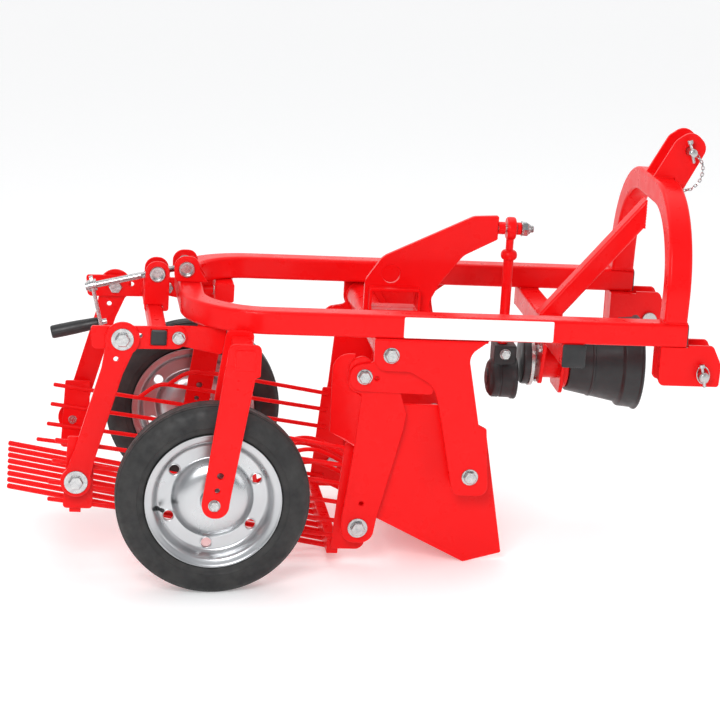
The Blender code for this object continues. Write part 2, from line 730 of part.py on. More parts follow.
def grate_at(share):
    """A place on the bottom rods' centre line, from their rear ends to their front ends."""
    return lerp(Vector((GRATE_REAR[0], 0, GRATE_REAR[1])), Vector((GRATE_FRONT[0], 0, GRATE_FRONT[1])), share)


def make_sieve():
    front_pins = pivot("front_pin_pivot", FRONT_PIVOT)
    carrier = pivot("sieve_pivot", FRONT_PIVOT)
    rods = bmesh.new()
    for index in range(ROD_COUNT):
        shift = Vector((0, lerp(-ROD_SPREAD, ROD_SPREAD, index / (ROD_COUNT - 1)), 0))
        add_rod(rods, [grate_at(0) + shift, grate_at(1) + shift], GRATE_ROD / 2)
    grate = placed("sieve_grate", rods, RED, carrier)
    bars = bmesh.new()
    half, depth = 0.012, GRATE_ROD / 2 + 0.006
    places = [(grate_at(share), -depth, 0) for share in (0.20, 0.60)]
    for middle, low, high in [*places, (grate_at(0.98), 0.003, 0.033)]:
        outline = box(middle.x - half, middle.z + low, middle.x + half, middle.z + high)
        add_prism(bars, outline, "Y", -SIEVE_OFFSET + SIEVE_PLATE + GAP, SIEVE_OFFSET - SIEVE_PLATE - GAP)
    combine(grate, placed("sieve_bars", bars, RED, carrier), "UNION")

    for name, side in SIDES.items():
        inner = SIEVE_OFFSET - SIEVE_PLATE
        rear_plate = rounded([
            (-0.304, -0.092, 0.008), (-0.240, -0.092, 0.008), (-0.240, 0.083, 0.004), (-0.296, 0.083, 0.004),
        ])
        bracket = side_plate(f"sieve_side_{name}", side, rear_plate, SIEVE_OFFSET, SIEVE_PLATE, RED,
                             (), carrier)
        stud = [(0, 0), (0, 0.015), (0.010, 0.015), (0.010, SIEVE_PIN_RADIUS)]
        link_outer = REAR_ARM_OFFSET + RUNNING + REAR_PLATE
        stud_length = 0.010 + 0.001 + link_outer - SIEVE_OFFSET + SIEVE_PLATE / 2
        stud += [(stud_length, SIEVE_PIN_RADIUS), (stud_length, 0)]
        bolt = turned(f"sieve_rear_stud_{name}", stud, (REAR_BOLT[0], side * (link_outer + 0.011), REAR_BOLT[1]),
                      (0, -side, 0), ZINC, ROUND, carrier)
        combine(bracket, bolt, "UNION")
        front_plate = rounded([
            (0.272, 0.084, 0.004), (0.264, -0.149, 0.004), (0.336, -0.149, 0.020), (0.344, -0.070, 0.020),
            (0.312, 0.084, 0.004),
        ])
        plate = side_plate(f"sieve_front_{name}", side, front_plate, SIEVE_OFFSET, SIEVE_PLATE, RED,
                           [circle(FRONT_PIVOT, SIEVE_PIN_RADIUS + PIN_PLAY)], carrier)
        combine(bracket, plate, "UNION")
        mesh = bmesh.new()
        y = side * (inner - 0.001)
        for rear_x, rear_z, front_z in (
            (-0.320, 0.073, -0.009), (-0.325, 0.028, -0.050), (-0.332, -0.018, -0.091), (-0.354, -0.055, -0.124),
        ):
            add_rod(mesh, [Vector((rear_x, y, rear_z)), Vector((0.296, y, front_z))], SIDE_ROD / 2)
        combine(bracket, placed(f"sieve_side_rods_{name}", mesh, RED, carrier), "UNION")
        for level, path in SIDE_GUARDS.items():
            guard = bmesh.new()
            add_rod(guard, [Vector((x, y, z)) for x, z in path], SIDE_ROD / 2)
            combine(bracket, placed(f"sieve_{level}_guard_{name}", guard, RED, carrier), "UNION")
        start = LEVER_OFFSET - LEVER_PLATE
        head = [(0, 0), (0, 0.014), (0.010, 0.014), (0.010, 0.021), (0.013, 0.021), (0.013, SIEVE_PIN_RADIUS)]
        length = 0.013 + (start - SIEVE_OFFSET) + SIEVE_PLATE + 0.002
        head += [(length, SIEVE_PIN_RADIUS), (length, 0.015), (length + 0.008, 0.015), (length + 0.008, 0)]
        turned(f"sieve_front_pin_{name}", head, (FRONT_PIVOT[0], side * (start + 0.013 + GAP), FRONT_PIVOT[1]),
               (0, -side, 0), ZINC, ROUND, front_pins)
    return front_pins, carrier


# --- Rear arms, links and crank ---


def make_rear_arms():
    carrier = pivot("rear_arm_pivot", ARM_PIVOT)
    pins = pivot("rear_pin_pivot", LINK_TOP)
    links = pivot("rear_link_pivot", LINK_TOP)
    arm = rounded([
        (-0.258, 0.324, 0.006), (-0.253, 0.276, 0.010), (-0.066, 0.280, 0.024), (-0.050, 0.328, 0.022),
    ])
    half_bar = CROSS_BAR_SIZE / 2
    x, z = CROSS_BAR
    link_outer = REAR_ARM_OFFSET + RUNNING + REAR_PLATE
    direction = (Vector(REAR_BOLT) - Vector(LINK_TOP)).normalized()
    across = Vector((-direction.y, direction.x)) * LINK_WIDTH / 2
    top = Vector(LINK_TOP)
    foot = Vector(REAR_BOLT)
    waist_top, waist_foot = lerp(top, foot, 0.22), lerp(top, foot, 0.80)
    link = [*arc(top, LINK_TOP_EYE, -direction, 12), *[waist_top - across, waist_foot - across],
            *arc(foot, LINK_FOOT_EYE, direction, 12), *[waist_foot + across, waist_top + across]]
    for name, side in SIDES.items():
        slot = box(x - half_bar - GAP, z - half_bar - GAP, x + half_bar + GAP, z + half_bar + GAP)
        side_plate(f"rear_arm_{name}", side, arm, REAR_ARM_OFFSET, REAR_PLATE, RED,
                   [slot, circle(LINK_TOP, SIEVE_PIN_RADIUS + PIN_PLAY), circle(ARM_PIVOT, 0.008 + PIN_PLAY),
                    circle((-0.156, 0.306), 0.0055, 8)], carrier)
        side_plate(f"rear_link_{name}", side, link, link_outer, REAR_PLATE, RED,
                   [circle(LINK_TOP, SIEVE_PIN_RADIUS + PIN_PLAY), circle(REAR_BOLT, SIEVE_PIN_RADIUS + OPEN_PLAY),
                    circle(Vector(LINK_TOP) + direction * 0.044, 0.0055, 8)], links)
        inner = REAR_ARM_OFFSET - REAR_PLATE
        length = 0.013 + REAR_PLATE * 2 + RUNNING + 0.0008
        profile = [
            (0, 0), (0, 0.014), (0.010, 0.014), (0.010, 0.031), (0.013, 0.031), (0.013, SIEVE_PIN_RADIUS),
            (length, SIEVE_PIN_RADIUS), (length, 0.015), (length + 0.008, 0.015), (length + 0.008, 0),
        ]
        turned(f"rear_pin_{name}", profile, (LINK_TOP[0], side * (link_outer + 0.013 + GAP), LINK_TOP[1]),
               (0, -side, 0), ZINC, ROUND, pins)
        pin_length = 0.010 + REAR_PLATE * 2 + RUNNING + GAP * 2
        pin = [(0, 0), (0, 0.014), (0.010, 0.014), (0.010, 0.008), (pin_length, 0.008), (pin_length, 0.014),
               (pin_length + 0.010, 0.014), (pin_length + 0.010, 0)]
        turned(f"rear_arm_pin_{name}", pin, (ARM_PIVOT[0], side * (REAR_ARM_OFFSET + 0.010 + GAP), ARM_PIVOT[1]),
               (0, -side, 0), ZINC)
        bracket = rounded([
            (-0.092, 0.288, 0.012), (0.016, 0.268, 0.006), (0.024, RAIL_BOTTOM - GAP, 0.0),
            (-0.092, RAIL_BOTTOM - GAP, 0.010),
        ])
        side_plate(f"rear_bracket_{name}", side, bracket, inner - RUNNING, REAR_PLATE, RED,
                   [circle(ARM_PIVOT, 0.008 + GAP)])
    reach = REAR_ARM_OFFSET + 0.002
    ends = [Vector((x, -reach, z)), Vector((x, reach, z))]
    hollow_tube("rear_cross_tube", ends, Vector((0, 0, 1)), CROSS_BAR_SIZE, CROSS_BAR_SIZE, 0.003, RED,
                carrier=carrier)

    post_x, post_z = POST_TRUNNION
    foot = z + half_bar + GAP
    post = prism("screw_post", rounded([
        (-0.012, foot, 0.0), (0.012, foot, 0.0), (0.012, post_z - 0.044, 0.0),
        (-0.012, post_z - 0.044, 0.0),
    ]), "X", post_x - 0.012, post_x + 0.012, RED, (), carrier)
    lug_shape = rounded([
        (post_x - 0.026, post_z - 0.080, 0.006), (post_x + 0.026, post_z - 0.080, 0.006),
        (post_x + 0.026, post_z + 0.028, 0.024), (post_x - 0.026, post_z + 0.028, 0.024),
    ])
    hole = circle(POST_TRUNNION, TRUNNION_RADIUS + GAP + 0.0005)
    lugs = bmesh.new()
    for side in (-1, 1):
        faces = sorted((side * POST_LUG_GAP / 2, side * (POST_LUG_GAP / 2 + LUG_PLATE)))
        add_prism(lugs, lug_shape, "Y", faces[0], faces[1], [hole])
    web = prism("screw_post_web", box(post_x - 0.025, post_z - 0.061, post_x + 0.025, post_z - 0.042), "Y",
                -POST_LUG_GAP / 2 - 0.002, POST_LUG_GAP / 2 + 0.002, RED, (), carrier)
    combine(post, web, "UNION")
    combine(post, placed("screw_post_lugs", lugs, RED, carrier), "UNION")
    seat = half_bar + GAP
    notch = prism("screw_post_notch", box(x - seat, z - seat, x + seat, z + seat), "Y", -0.060, 0.060, RED, (), carrier)
    combine(post, notch, "DIFFERENCE")

    frame_x, frame_z = FRAME_TRUNNION
    base = prism("screw_bracket", box(frame_x - 0.012, RAIL_TOP + GAP, frame_x + 0.032, RAIL_TOP + 0.0065), "Y",
                 -FRAME_LUG_GAP / 2 - LUG_PLATE + 0.001, FRAME_LUG_GAP / 2 + LUG_PLATE - 0.001, RED)
    ears = bmesh.new()
    ear = rounded([
        (frame_x - 0.020, RAIL_TOP + GAP, 0.0), (frame_x + 0.046, RAIL_TOP + GAP, 0.0),
        (frame_x + 0.026, frame_z + 0.004, 0.030), (frame_x + 0.028, frame_z + 0.029, 0.020),
        (frame_x - 0.028, frame_z + 0.029, 0.024), (frame_x - 0.026, frame_z - 0.014, 0.020),
    ])
    ear_hole = circle(FRAME_TRUNNION, TRUNNION_RADIUS + GAP + 0.0005)
    for side in (-1, 1):
        faces = sorted((side * FRAME_LUG_GAP / 2, side * (FRAME_LUG_GAP / 2 + LUG_PLATE)))
        add_prism(ears, ear, "Y", faces[0], faces[1], [ear_hole])
    combine(base, placed("screw_bracket_ears", ears, RED), "UNION")
    return carrier, pins, links


def make_crank():
    screw = pivot("crank_pivot", POST_TRUNNION)
    nut = pivot("nut_pivot", FRAME_TRUNNION)
    here = Vector((POST_TRUNNION[0], 0, POST_TRUNNION[1]))
    there = Vector((FRAME_TRUNNION[0], 0, FRAME_TRUNNION[1]))
    along = (there - here).normalized()
    length = POST_LUG_GAP / 2 + LUG_PLATE + 0.004
    body = turned("crank_screw", cylinder(2 * length, TRUNNION_RADIUS), here - Vector((0, length, 0)), (0, 1, 0), ZINC, ROUND, screw)
    back = here - along * 0.145
    front = there + along * 0.024
    spindle = turned("crank_spindle", cylinder((front - back).length, SCREW_RADIUS), back, along, ZINC, 16, screw)
    down = along.cross(Vector((0, 1, 0))).normalized()
    if down.z > 0:
        down = -down
    handle = bmesh.new()
    start = back + along * 0.004
    rings = []
    for reach in (-0.014, 0.112):
        centre = start + down * reach
        rings.append([centre + along * a + Vector((0, b, 0)) for a, b in box(-0.004, -0.012, 0.004, 0.012)])
    add_rings(handle, rings)
    combine(body, spindle, "UNION")
    combine(body, placed("crank_arm", handle, ZINC, screw), "UNION")
    grip_start = start + down * 0.100 + along * 0.002
    grip = turned("crank_grip", [
        (0, 0), (0, 0.006), (0.008, 0.006), (0.008, 0.011), (0.030, 0.0145), (0.085, 0.0145), (0.108, 0.012), (0.112, 0.008),
        (0.112, 0),
    ], grip_start, -along, BLACK, 20, screw)
    combine(body, grip, "UNION")
    length = FRAME_LUG_GAP / 2 + LUG_PLATE + 0.004
    block = turned("screw_nut", cylinder(2 * length, TRUNNION_RADIUS), there - Vector((0, length, 0)), (0, 1, 0), ZINC, ROUND, nut)
    bore = turned("screw_nut_bore", cylinder(0.080, SCREW_RADIUS + OPEN_PLAY), there - along * 0.040, along, ZINC,
                  16, nut)
    combine(block, bore, "DIFFERENCE")
    return screw, nut


# --- Wheels and forks ---


def make_wheels():
    fork_outer = WHEEL_OFFSET + HUB_HALF + RUNNING + FORK_PLATE
    fork_inner = WHEEL_OFFSET - HUB_HALF - RUNNING - FORK_PLATE
    outer_arm = rounded([
        (0.016, 0.337, 0.012), (-0.026, 0.000, 0.027), (-0.020, -0.028, 0.026), (0.028, -0.028, 0.026),
        (0.032, 0.010, 0.020), (0.071, 0.268, 0.004), (0.081, 0.272, 0.004), (0.081, 0.337, 0.012),
    ])
    inner_arm = rounded([
        (0.018, 0.337, 0.012), (-0.026, 0.000, 0.027), (-0.020, -0.028, 0.026), (0.028, -0.028, 0.026),
        (0.032, 0.010, 0.020), (0.071, 0.268, 0.004), (0.076, 0.337, 0.012),
    ])
    axle_at = (0.0, 0.0)
    holes = [circle(axle_at, AXLE_RADIUS + GAP), circle((0.005, 0.031), 0.0055, 8), circle((0.010, 0.062), 0.007, 8)]
    beam = box(0.028, 0.283, 0.070, RAIL_BOTTOM - GAP, 0.004)
    for name, side in SIDES.items():
        fork = side_plate(f"wheel_fork_{name}", side, outer_arm, fork_outer, FORK_PLATE, RED, holes)
        inner = side_plate(f"wheel_fork_inner_{name}", side, inner_arm, fork_inner + FORK_PLATE, FORK_PLATE, RED,
                           holes)
        tube = side_plate(f"wheel_fork_beam_{name}", side, beam, fork_outer + 0.003, fork_outer + 0.003 - 0.248, RED)
        combine(fork, tube, "UNION")
        combine(fork, inner, "UNION")
        span = fork_outer - fork_inner + 0.020
        axle = [(0, 0), (0, 0.013), (0.007, 0.013), (0.007, AXLE_RADIUS), (span, AXLE_RADIUS), (span, 0)]
        turned(f"wheel_axle_{name}", axle, (axle_at[0], side * (fork_outer + 0.007 + GAP), axle_at[1]),
               (0, -side, 0), ZINC)
        spin = pivot(f"wheel_pivot_{name}", axle_at, side * WHEEL_OFFSET)
        centre = (axle_at[0], side * WHEEL_OFFSET, axle_at[1])
        half = TYRE_WIDTH / 2
        wall = [
            (half * 0.25, WHEEL_RADIUS), (half * 0.55, WHEEL_RADIUS - 0.002), (half * 0.86, WHEEL_RADIUS - 0.014),
            (half, WHEEL_RADIUS - 0.034), (half * 0.92, RIM_RADIUS + 0.010), (half * 0.74, RIM_RADIUS + GAP),
        ]
        tyre = wall + [(-along, height) for along, height in reversed(wall)]
        ring_turned(f"tyre_{name}", tyre, centre, (0, 1, 0), RUBBER, 32, spin)
        bore = AXLE_RADIUS + PIN_PLAY
        half_profile = [(HUB_HALF, bore), (HUB_HALF, HUB_RADIUS), (0.030, HUB_RADIUS + 0.002), (0.026, 0.080), (0.020, 0.092),
                        (0.020, 0.112), (0.032, 0.124), (0.034, RIM_RADIUS)]
        other = [(-along, r) for along, r in reversed(half_profile)]
        rim = ring_turned(f"rim_{name}", half_profile + other, centre, (0, 1, 0), ZINC, 32, spin)
        cutters = bmesh.new()
        for step in range(6):
            turn = math.radians(60) * step + math.radians(25)
            spot = (centre[0] + 0.098 * math.cos(turn), centre[2] + 0.098 * math.sin(turn))
            add_prism(cutters, circle(spot, 0.011, 8), "Y", centre[1] - 0.060, centre[1] + 0.060)
        combine(rim, placed(f"rim_holes_{name}", cutters, ZINC, spin), "DIFFERENCE")


def stand_on_ground():
    """Shifts the machine so that the origin is under the middle of its box, on the ground."""
    bpy.context.view_layer.update()
    points = []
    for obj in bpy.context.view_layer.objects:
        if obj.type == "MESH" and not obj.hide_render:
            points += [obj.matrix_world @ vertex.co for vertex in obj.data.vertices]
    reach = [point.x for point in points]
    MACHINE.location.x -= (max(reach) + min(reach)) / 2
    MACHINE.location.z -= min(point.z for point in points)


make_main_frame()
make_arch()
make_top_link()
make_lower_hitch()
make_cross_tube()
make_brace()
make_pto()
make_share()
make_rocker()
make_connecting_rod()
make_sieve()
make_rear_arms()
make_crank()
make_wheels()
stand_on_ground()
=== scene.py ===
"""The looks of a one-row vibrating potato digger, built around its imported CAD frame.

Pieces are drawn in the machine's own frame, square to its rails, with the origin on the wheels' axle line.
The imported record's joints say where that frame stands and how far it is pitched, and each piece is moved
there.
"""

import json
import math

import bmesh
import bpy
from mathutils import Matrix, Vector
from mathutils.geometry import tessellate_polygon


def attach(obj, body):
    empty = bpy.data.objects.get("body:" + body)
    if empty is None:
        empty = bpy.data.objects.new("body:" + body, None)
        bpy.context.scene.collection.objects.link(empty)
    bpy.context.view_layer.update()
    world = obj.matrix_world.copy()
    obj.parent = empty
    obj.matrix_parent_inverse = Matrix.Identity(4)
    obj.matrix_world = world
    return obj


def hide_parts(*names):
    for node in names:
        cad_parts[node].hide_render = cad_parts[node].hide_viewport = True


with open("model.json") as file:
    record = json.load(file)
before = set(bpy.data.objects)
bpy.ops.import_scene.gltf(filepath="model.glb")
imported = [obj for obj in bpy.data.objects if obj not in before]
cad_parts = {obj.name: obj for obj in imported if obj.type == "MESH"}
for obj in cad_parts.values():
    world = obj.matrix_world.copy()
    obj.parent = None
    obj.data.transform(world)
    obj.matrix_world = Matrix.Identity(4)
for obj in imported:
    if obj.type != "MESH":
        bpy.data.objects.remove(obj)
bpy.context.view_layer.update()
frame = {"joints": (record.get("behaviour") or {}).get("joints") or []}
JOINTS = {joint["name"]: joint for joint in frame["joints"]}
SIDES = {"right": -1, "left": 1}
AROUND = ((-1, -1), (1, -1), (1, 1), (-1, 1), (-1, -1))  # the way round a square tube's end

# Where the machine's frame stands
FORWARD = Vector(JOINTS["pto_spin"]["axis"])
PITCH = math.atan2(-FORWARD.z, FORWARD.x)
TURN = Matrix.Rotation(PITCH, 4, "Y")
AXLE = (Vector(JOINTS["wheel_right_spin"]["pos_m"]) + Vector(JOINTS["wheel_left_spin"]["pos_m"])) / 2
MACHINE = Matrix.Translation(AXLE) @ TURN
INTO_MACHINE = MACHINE.inverted()


def joint_place(name):
    """A joint's (x, z) in the machine's frame."""
    place = INTO_MACHINE @ Vector(JOINTS[name]["pos_m"])
    return place.x, place.z


ROCKER = joint_place("rocker_shake")
ROD_EYE = joint_place("rod_swing")
FRONT_PIVOT = joint_place("sieve_tilt")
ARM_PIVOT = joint_place("rear_arm_lift")
LINK_TOP = joint_place("rear_link_swing")
POST_TRUNNION = joint_place("crank_screw_turn")
FRAME_TRUNNION = joint_place("screw_nut_turn")
PTO_HEIGHT = joint_place("pto_spin")[1]
REAR_BOLT = (-0.277, -0.008)
LEVER_BOLT = (0.312, 0.240)
SHARE_BOLT = (0.545, 0.033)
SHARE_POINT = (0.550, -0.1675)
TOP_PIN = (1.020, 0.702)
LOWER_PIN = (1.024, 0.268)

# Square tubes
RAIL = 0.050
RAIL_CORNER = 0.007
RAIL_WALL = 0.004
RAIL_OFFSET = 0.270
RAIL_BOTTOM = 0.3265
RAIL_TOP = RAIL_BOTTOM + RAIL
RAIL_OUTSIDE = RAIL_OFFSET + RAIL / 2
RAIL_FRONT = 0.985
FRAME_REAR = -0.068
BEND_RADIUS = 0.150
ARCH_FOOT = RAIL_FRONT - 0.001 - RAIL / 2
ARCH_HEIGHT = 0.642
ARCH_SHOULDER = 0.190
ARCH_LEAN = math.radians(1.5)
CROSS_TUBE_REAR = 0.722
BRACE_HEAD = 0.556

# Distances from the middle to the outer faces of the plates on each side
SUPPORT_OUT = RAIL_OUTSIDE - 0.001
LEVER_OUT = 0.2785
ARM_OUT = 0.2702
SHARE_OUT = 0.250
LINK_OUT = 0.261
REAR_ARM_OUT = 0.250
SIEVE_OUT = 0.236
HITCH_OUT = RAIL_OUTSIDE - 0.003

WHEEL_OFFSET = 0.368
WHEEL_RADIUS = 0.200
RIM_RADIUS = 0.139
RIM_HOLES_AT = 0.098
SMOOTH = 40  # sides of a round piece
GAP = 0.0003  # between pieces that are seated on each other
PLATE = 0.008


# --- Materials ---


def add_node(made, kind, **values):
    node = made.node_tree.nodes.new(kind)
    for key, value in values.items():
        if key in node.inputs:
            node.inputs[key].default_value = value
        else:
            setattr(node, key, value)
    return node


def noise(made, scale, detail=4.0, stretch=None):
    """A noise over the piece, in metres, stretched along an axis where asked."""
    place = add_node(made, "ShaderNodeTexCoord").outputs["Object"]
    links = made.node_tree.links
    if stretch:
        mapping = add_node(made, "ShaderNodeMapping")
        mapping.inputs["Scale"].default_value = stretch
        links.new(place, mapping.inputs["Vector"])
        place = mapping.outputs["Vector"]
    node = add_node(made, "ShaderNodeTexNoise", Scale=scale, Detail=detail)
    links.new(place, node.inputs["Vector"])
    return node.outputs["Fac"]


def ramp(made, source, low, high, start=0.35, end=0.65):
    """Turns a value into a blend between two colours or two grey levels."""
    node = add_node(made, "ShaderNodeValToRGB")
    first, last = node.color_ramp.elements
    first.position, last.position = start, end
    first.color = (*low, 1.0) if isinstance(low, tuple) else (low, low, low, 1.0)
    last.color = (*high, 1.0) if isinstance(high, tuple) else (high, high, high, 1.0)
    made.node_tree.links.new(source, node.inputs["Fac"])
    return node.outputs["Color"]


def bump(made, shader, source, strength, distance):
    node = add_node(made, "ShaderNodeBump", Strength=strength, Distance=distance)
    made.node_tree.links.new(source, node.inputs["Height"])
    made.node_tree.links.new(node.outputs["Normal"], shader.inputs["Normal"])


def finish(name, colour, roughness, metallic=0.0, tint=None, gloss=None, relief=None, **sockets):
    """A material. Its tint and gloss are (noise, low, high), and its relief is (noise, strength, depth)."""
    made = bpy.data.materials.new(name)
    made.use_nodes = True
    shader = made.node_tree.nodes["Principled BSDF"]
    shader.inputs["Base Color"].default_value = (*colour, 1.0)
    shader.inputs["Roughness"].default_value = roughness
    shader.inputs["Metallic"].default_value = metallic
    for socket, value in sockets.items():
        shader.inputs[socket.replace("_", " ")].default_value = value
    for socket, varied in (("Base Color", tint), ("Roughness", gloss)):
        if varied:
            grain, low, high = varied
            made.node_tree.links.new(ramp(made, noise(made, *grain), low, high), shader.inputs[socket])
    if relief:
        grain, strength, depth = relief
        bump(made, shader, noise(made, *grain), strength, depth)
    return made


RED = finish("red_powder_coat", (0.80, 0.006, 0.008), 0.30,
             tint=((7.0,), (0.81, 0.0048, 0.0058), (0.85, 0.0056, 0.0066)), gloss=((34.0,), 0.26,
                                                                                   0.36),
                                                                                   relief=((420.0, 2.0),
                                                                                           0.07, 0.0003),
             Coat_Weight=0.07, Coat_Roughness=0.08, Specular_IOR_Level=0.13)
RUBBER = finish("tyre_rubber", (0.022, 0.022, 0.023), 0.62,
                tint=((22.0, 6.0), (0.013, 0.013, 0.0135), (0.027, 0.026, 0.025)),
                gloss=((60.0, 6.0), 0.50, 0.74), relief=((900.0, 3.0), 0.16, 0.0005), Specular_IOR_Level=0.45)
RIM = finish("zinc_plated_rim", (0.70, 0.71, 0.72), 0.26, 1.0,
             tint=((9.0, 2.0), (0.49, 0.50, 0.51), (0.55, 0.56, 0.57)),
             gloss=((14.0, 3.0), 0.27, 0.32))
BOLT = finish("zinc_plated_fastener", (0.62, 0.62, 0.62), 0.30, 1.0,
              tint=((120.0, 4.0), (0.44, 0.44, 0.45), (0.58, 0.58, 0.57)), gloss=((160.0, 3.0), 0.20, 0.32))
STEEL = finish("turned_steel", (0.52, 0.51, 0.50), 0.26, 1.0,
               gloss=((90.0, 5.0, (12.0, 1.0, 1.0)), 0.20, 0.38),
               relief=((500.0, 2.0, (1.0, 12.0, 1.0)), 0.08, 0.0003))
BLACK = finish("black_moulded_plastic", (0.014, 0.014, 0.015), 0.42,
               tint=((26.0, 3.0), (0.011, 0.011, 0.012), (0.019, 0.019, 0.020)),
               gloss=((50.0, 5.0), 0.36, 0.50), relief=((1300.0, 2.0), 0.22, 0.0004))
STICKER = finish("blank_white_sticker", (0.86, 0.86, 0.85), 0.34,
                 tint=((40.0,), (0.83, 0.83, 0.82), (0.89, 0.89, 0.88)),
                 relief=((160.0, 2.0), 0.05, 0.0003))


# --- Shapes ---


def piece(name, mesh, material, body, *nodes, sharp=38):
    """An object made of this mesh, moved from the machine's frame to its place, riding on a body."""
    bmesh.ops.transform(mesh, matrix=MACHINE, verts=mesh.verts)
    bmesh.ops.recalc_face_normals(mesh, faces=mesh.faces)
    if mesh.calc_volume(signed=True) < 0:
        bmesh.ops.reverse_faces(mesh, faces=mesh.faces)
    for face in mesh.faces:
        face.smooth = True
    data = bpy.data.meshes.new(name)
    mesh.to_mesh(data)
    mesh.free()
    data.set_sharp_from_angle(angle=math.radians(sharp))
    data.materials.append(material)
    made = bpy.data.objects.new(name, data)
    bpy.context.scene.collection.objects.link(made)
    made.modifiers.new("flat_faces", "WEIGHTED_NORMAL").keep_sharp = True
    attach(made, body)
    if nodes:
        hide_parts(*nodes)
    return made


def rounded(corners, steps=7):
    """The outline through corners of (across, up, fillet radius), with each fillet as an arc."""
    outline = []
    for index, (across, up, radius) in enumerate(corners):
        corner = Vector((across, up))
        before = (Vector(corners[index - 1][:2]) - corner).normalized()
        after = (Vector(corners[(index + 1) % len(corners)][:2]) - corner).normalized()
        half = before.angle(after) / 2
        if radius <= 0 or half > math.radians(87):
            outline.append(corner)
            continue
        start = corner + before * radius / math.tan(half)
        end = corner + after * radius / math.tan(half)
        centre = corner + (before + after).normalized() * radius / math.sin(half)
        first = start - centre
        turn = first.angle_signed(end - centre)
        for step in range(steps + 1):
            outline.append(centre + Matrix.Rotation(-turn * step / steps, 2) @ first)
    return outline


def circle(centre, radius, count=24, start=0.0):
    turns = [start + 2 * math.pi * step / count for step in range(count)]
    return [Vector((centre[0] + radius * math.cos(t), centre[1] + radius * math.sin(t))) for t in turns]


def box(left, low, right, high, fillet=0.0, steps=4):
    return rounded([(left, low, fillet), (right, low, fillet), (right, high, fillet), (left, high, fillet)],
                   steps)


def on_plane(axis, along, point):
    if axis == "X":
        return Vector((along, point[0], point[1]))
    if axis == "Y":
        return Vector((point[0], along, point[1]))
    return Vector((point[0], point[1], along))


def inset(outline, depth, hole=False):
    """The outline moved inwards, or a hole's outline moved out into the plate round it."""
    area = sum(a.cross(b) for a, b in zip(outline, outline[1:] + outline[:1]))
    towards = (1 if area > 0 else -1) * (-1 if hole else 1) * depth
    moved = []
    for index, point in enumerate(outline):
        before = (point - outline[index - 1]).normalized()
        after = (outline[(index + 1) % len(outline)] - point).normalized()
        normal = Vector((-before.y - after.y, before.x + after.x))
        size = normal.length
        moved.append(point + normal * (2 * towards / max(size * size, 0.6)))
    return moved


def add_plate(mesh, outline, axis, low, high, holes=(), edge=0.001):
    """A flat plate with holes, square to an axis, whose edges are broken by a small chamfer."""
    loops = [(outline, False)] + [(hole, True) for hole in holes]
    levels = [(low, 0.0), (high, 0.0)]
    if edge:
        levels = [(low, edge), (low + edge, 0.0), (high - edge, 0.0), (high, edge)]
    rows = [[] for _ in levels]
    flat = []
    for loop, is_hole in loops:
        shifted = inset(loop, edge, is_hole) if edge else loop
        flat.append([Vector((*point, 0.0)) for point in shifted])
        first = len(rows[0])
        for row, (along, depth) in zip(rows, levels):
            points = shifted if depth else loop
            row += [mesh.verts.new(on_plane(axis, along, point)) for point in points]
        count = len(loop)
        for row, following in zip(rows, rows[1:]):
            for step in range(count):
                a, b = first + step, first + (step + 1) % count
                mesh.faces.new((row[a], row[b], following[b], following[a]))
    for a, b, c in tessellate_polygon(flat):
        mesh.faces.new((rows[0][c], rows[0][b], rows[0][a]))
        mesh.faces.new((rows[-1][a], rows[-1][b], rows[-1][c]))


def add_side_plate(mesh, side, outline, outer, thickness, holes=(), edge=0.001):
    low, high = sorted((side * outer, side * (outer - thickness)))
    add_plate(mesh, outline, "Y", low, high, holes, edge)


def plate_piece(name, side, body, node, outer, outline, holes):
    """A painted plate on one side, as a piece of its own."""
    mesh = bmesh.new()
    add_side_plate(mesh, side, outline, outer, PLATE, holes)
    piece(name, mesh, RED, body, node)


def add_rings(mesh, rings, closed=False):
    rows = [[mesh.verts.new(point) for point in ring] for ring in rings]
    count = len(rows[0])
    for row, following in zip(rows, rows[1:] + (rows[:1] if closed else [])):
        for step in range(count):
            after = (step + 1) % count
            mesh.faces.new((row[step], row[after], following[after], following[step]))
    if not closed:
        mesh.faces.new(rows[0][::-1])
        mesh.faces.new(rows[-1])


def add_turned(mesh, profile, base, direction, sides=SMOOTH):
    """A solid turned about an axis, from a profile of (along, radius).

    The profile starts and ends on the axis, or closes on itself as a ring.
    """
    spin = Vector(direction).to_track_quat("Z", "Y").to_matrix()
    rows = []
    for along, radius in profile:
        if radius <= 0:
            rows.append([mesh.verts.new(Vector(base) + spin @ Vector((0, 0, along)))])
            continue
        ring = [spin @ Vector((*point, along)) for point in circle((0, 0), radius, sides)]
        rows.append([mesh.verts.new(Vector(base) + point) for point in ring])
    if profile[0][1] > 0:
        rows.append(rows[0])
    for row, following in zip(rows, rows[1:]):
        for step in range(sides):
            after = (step + 1) % sides
            corners = [row[step % len(row)], row[after % len(row)]]
            corners += [following[after % len(following)], following[step % len(following)]]
            mesh.faces.new(list(dict.fromkeys(corners)))


def eased(profile, edge=0.0008):
    """A turned profile with each sharp corner cut back a little."""
    result = []
    for index, (along, radius) in enumerate(profile):
        here = Vector((along, radius))
        if index in (0, len(profile) - 1) or radius <= 0:
            result.append((along, radius))
            continue
        before = Vector(profile[index - 1]) - here
        after = Vector(profile[index + 1]) - here
        if before.angle(after) > math.radians(150):
            result.append((along, radius))
            continue
        result.append(tuple(here + before.normalized() * min(edge, before.length / 3)))
        result.append(tuple(here + after.normalized() * min(edge, after.length / 3)))
    return result


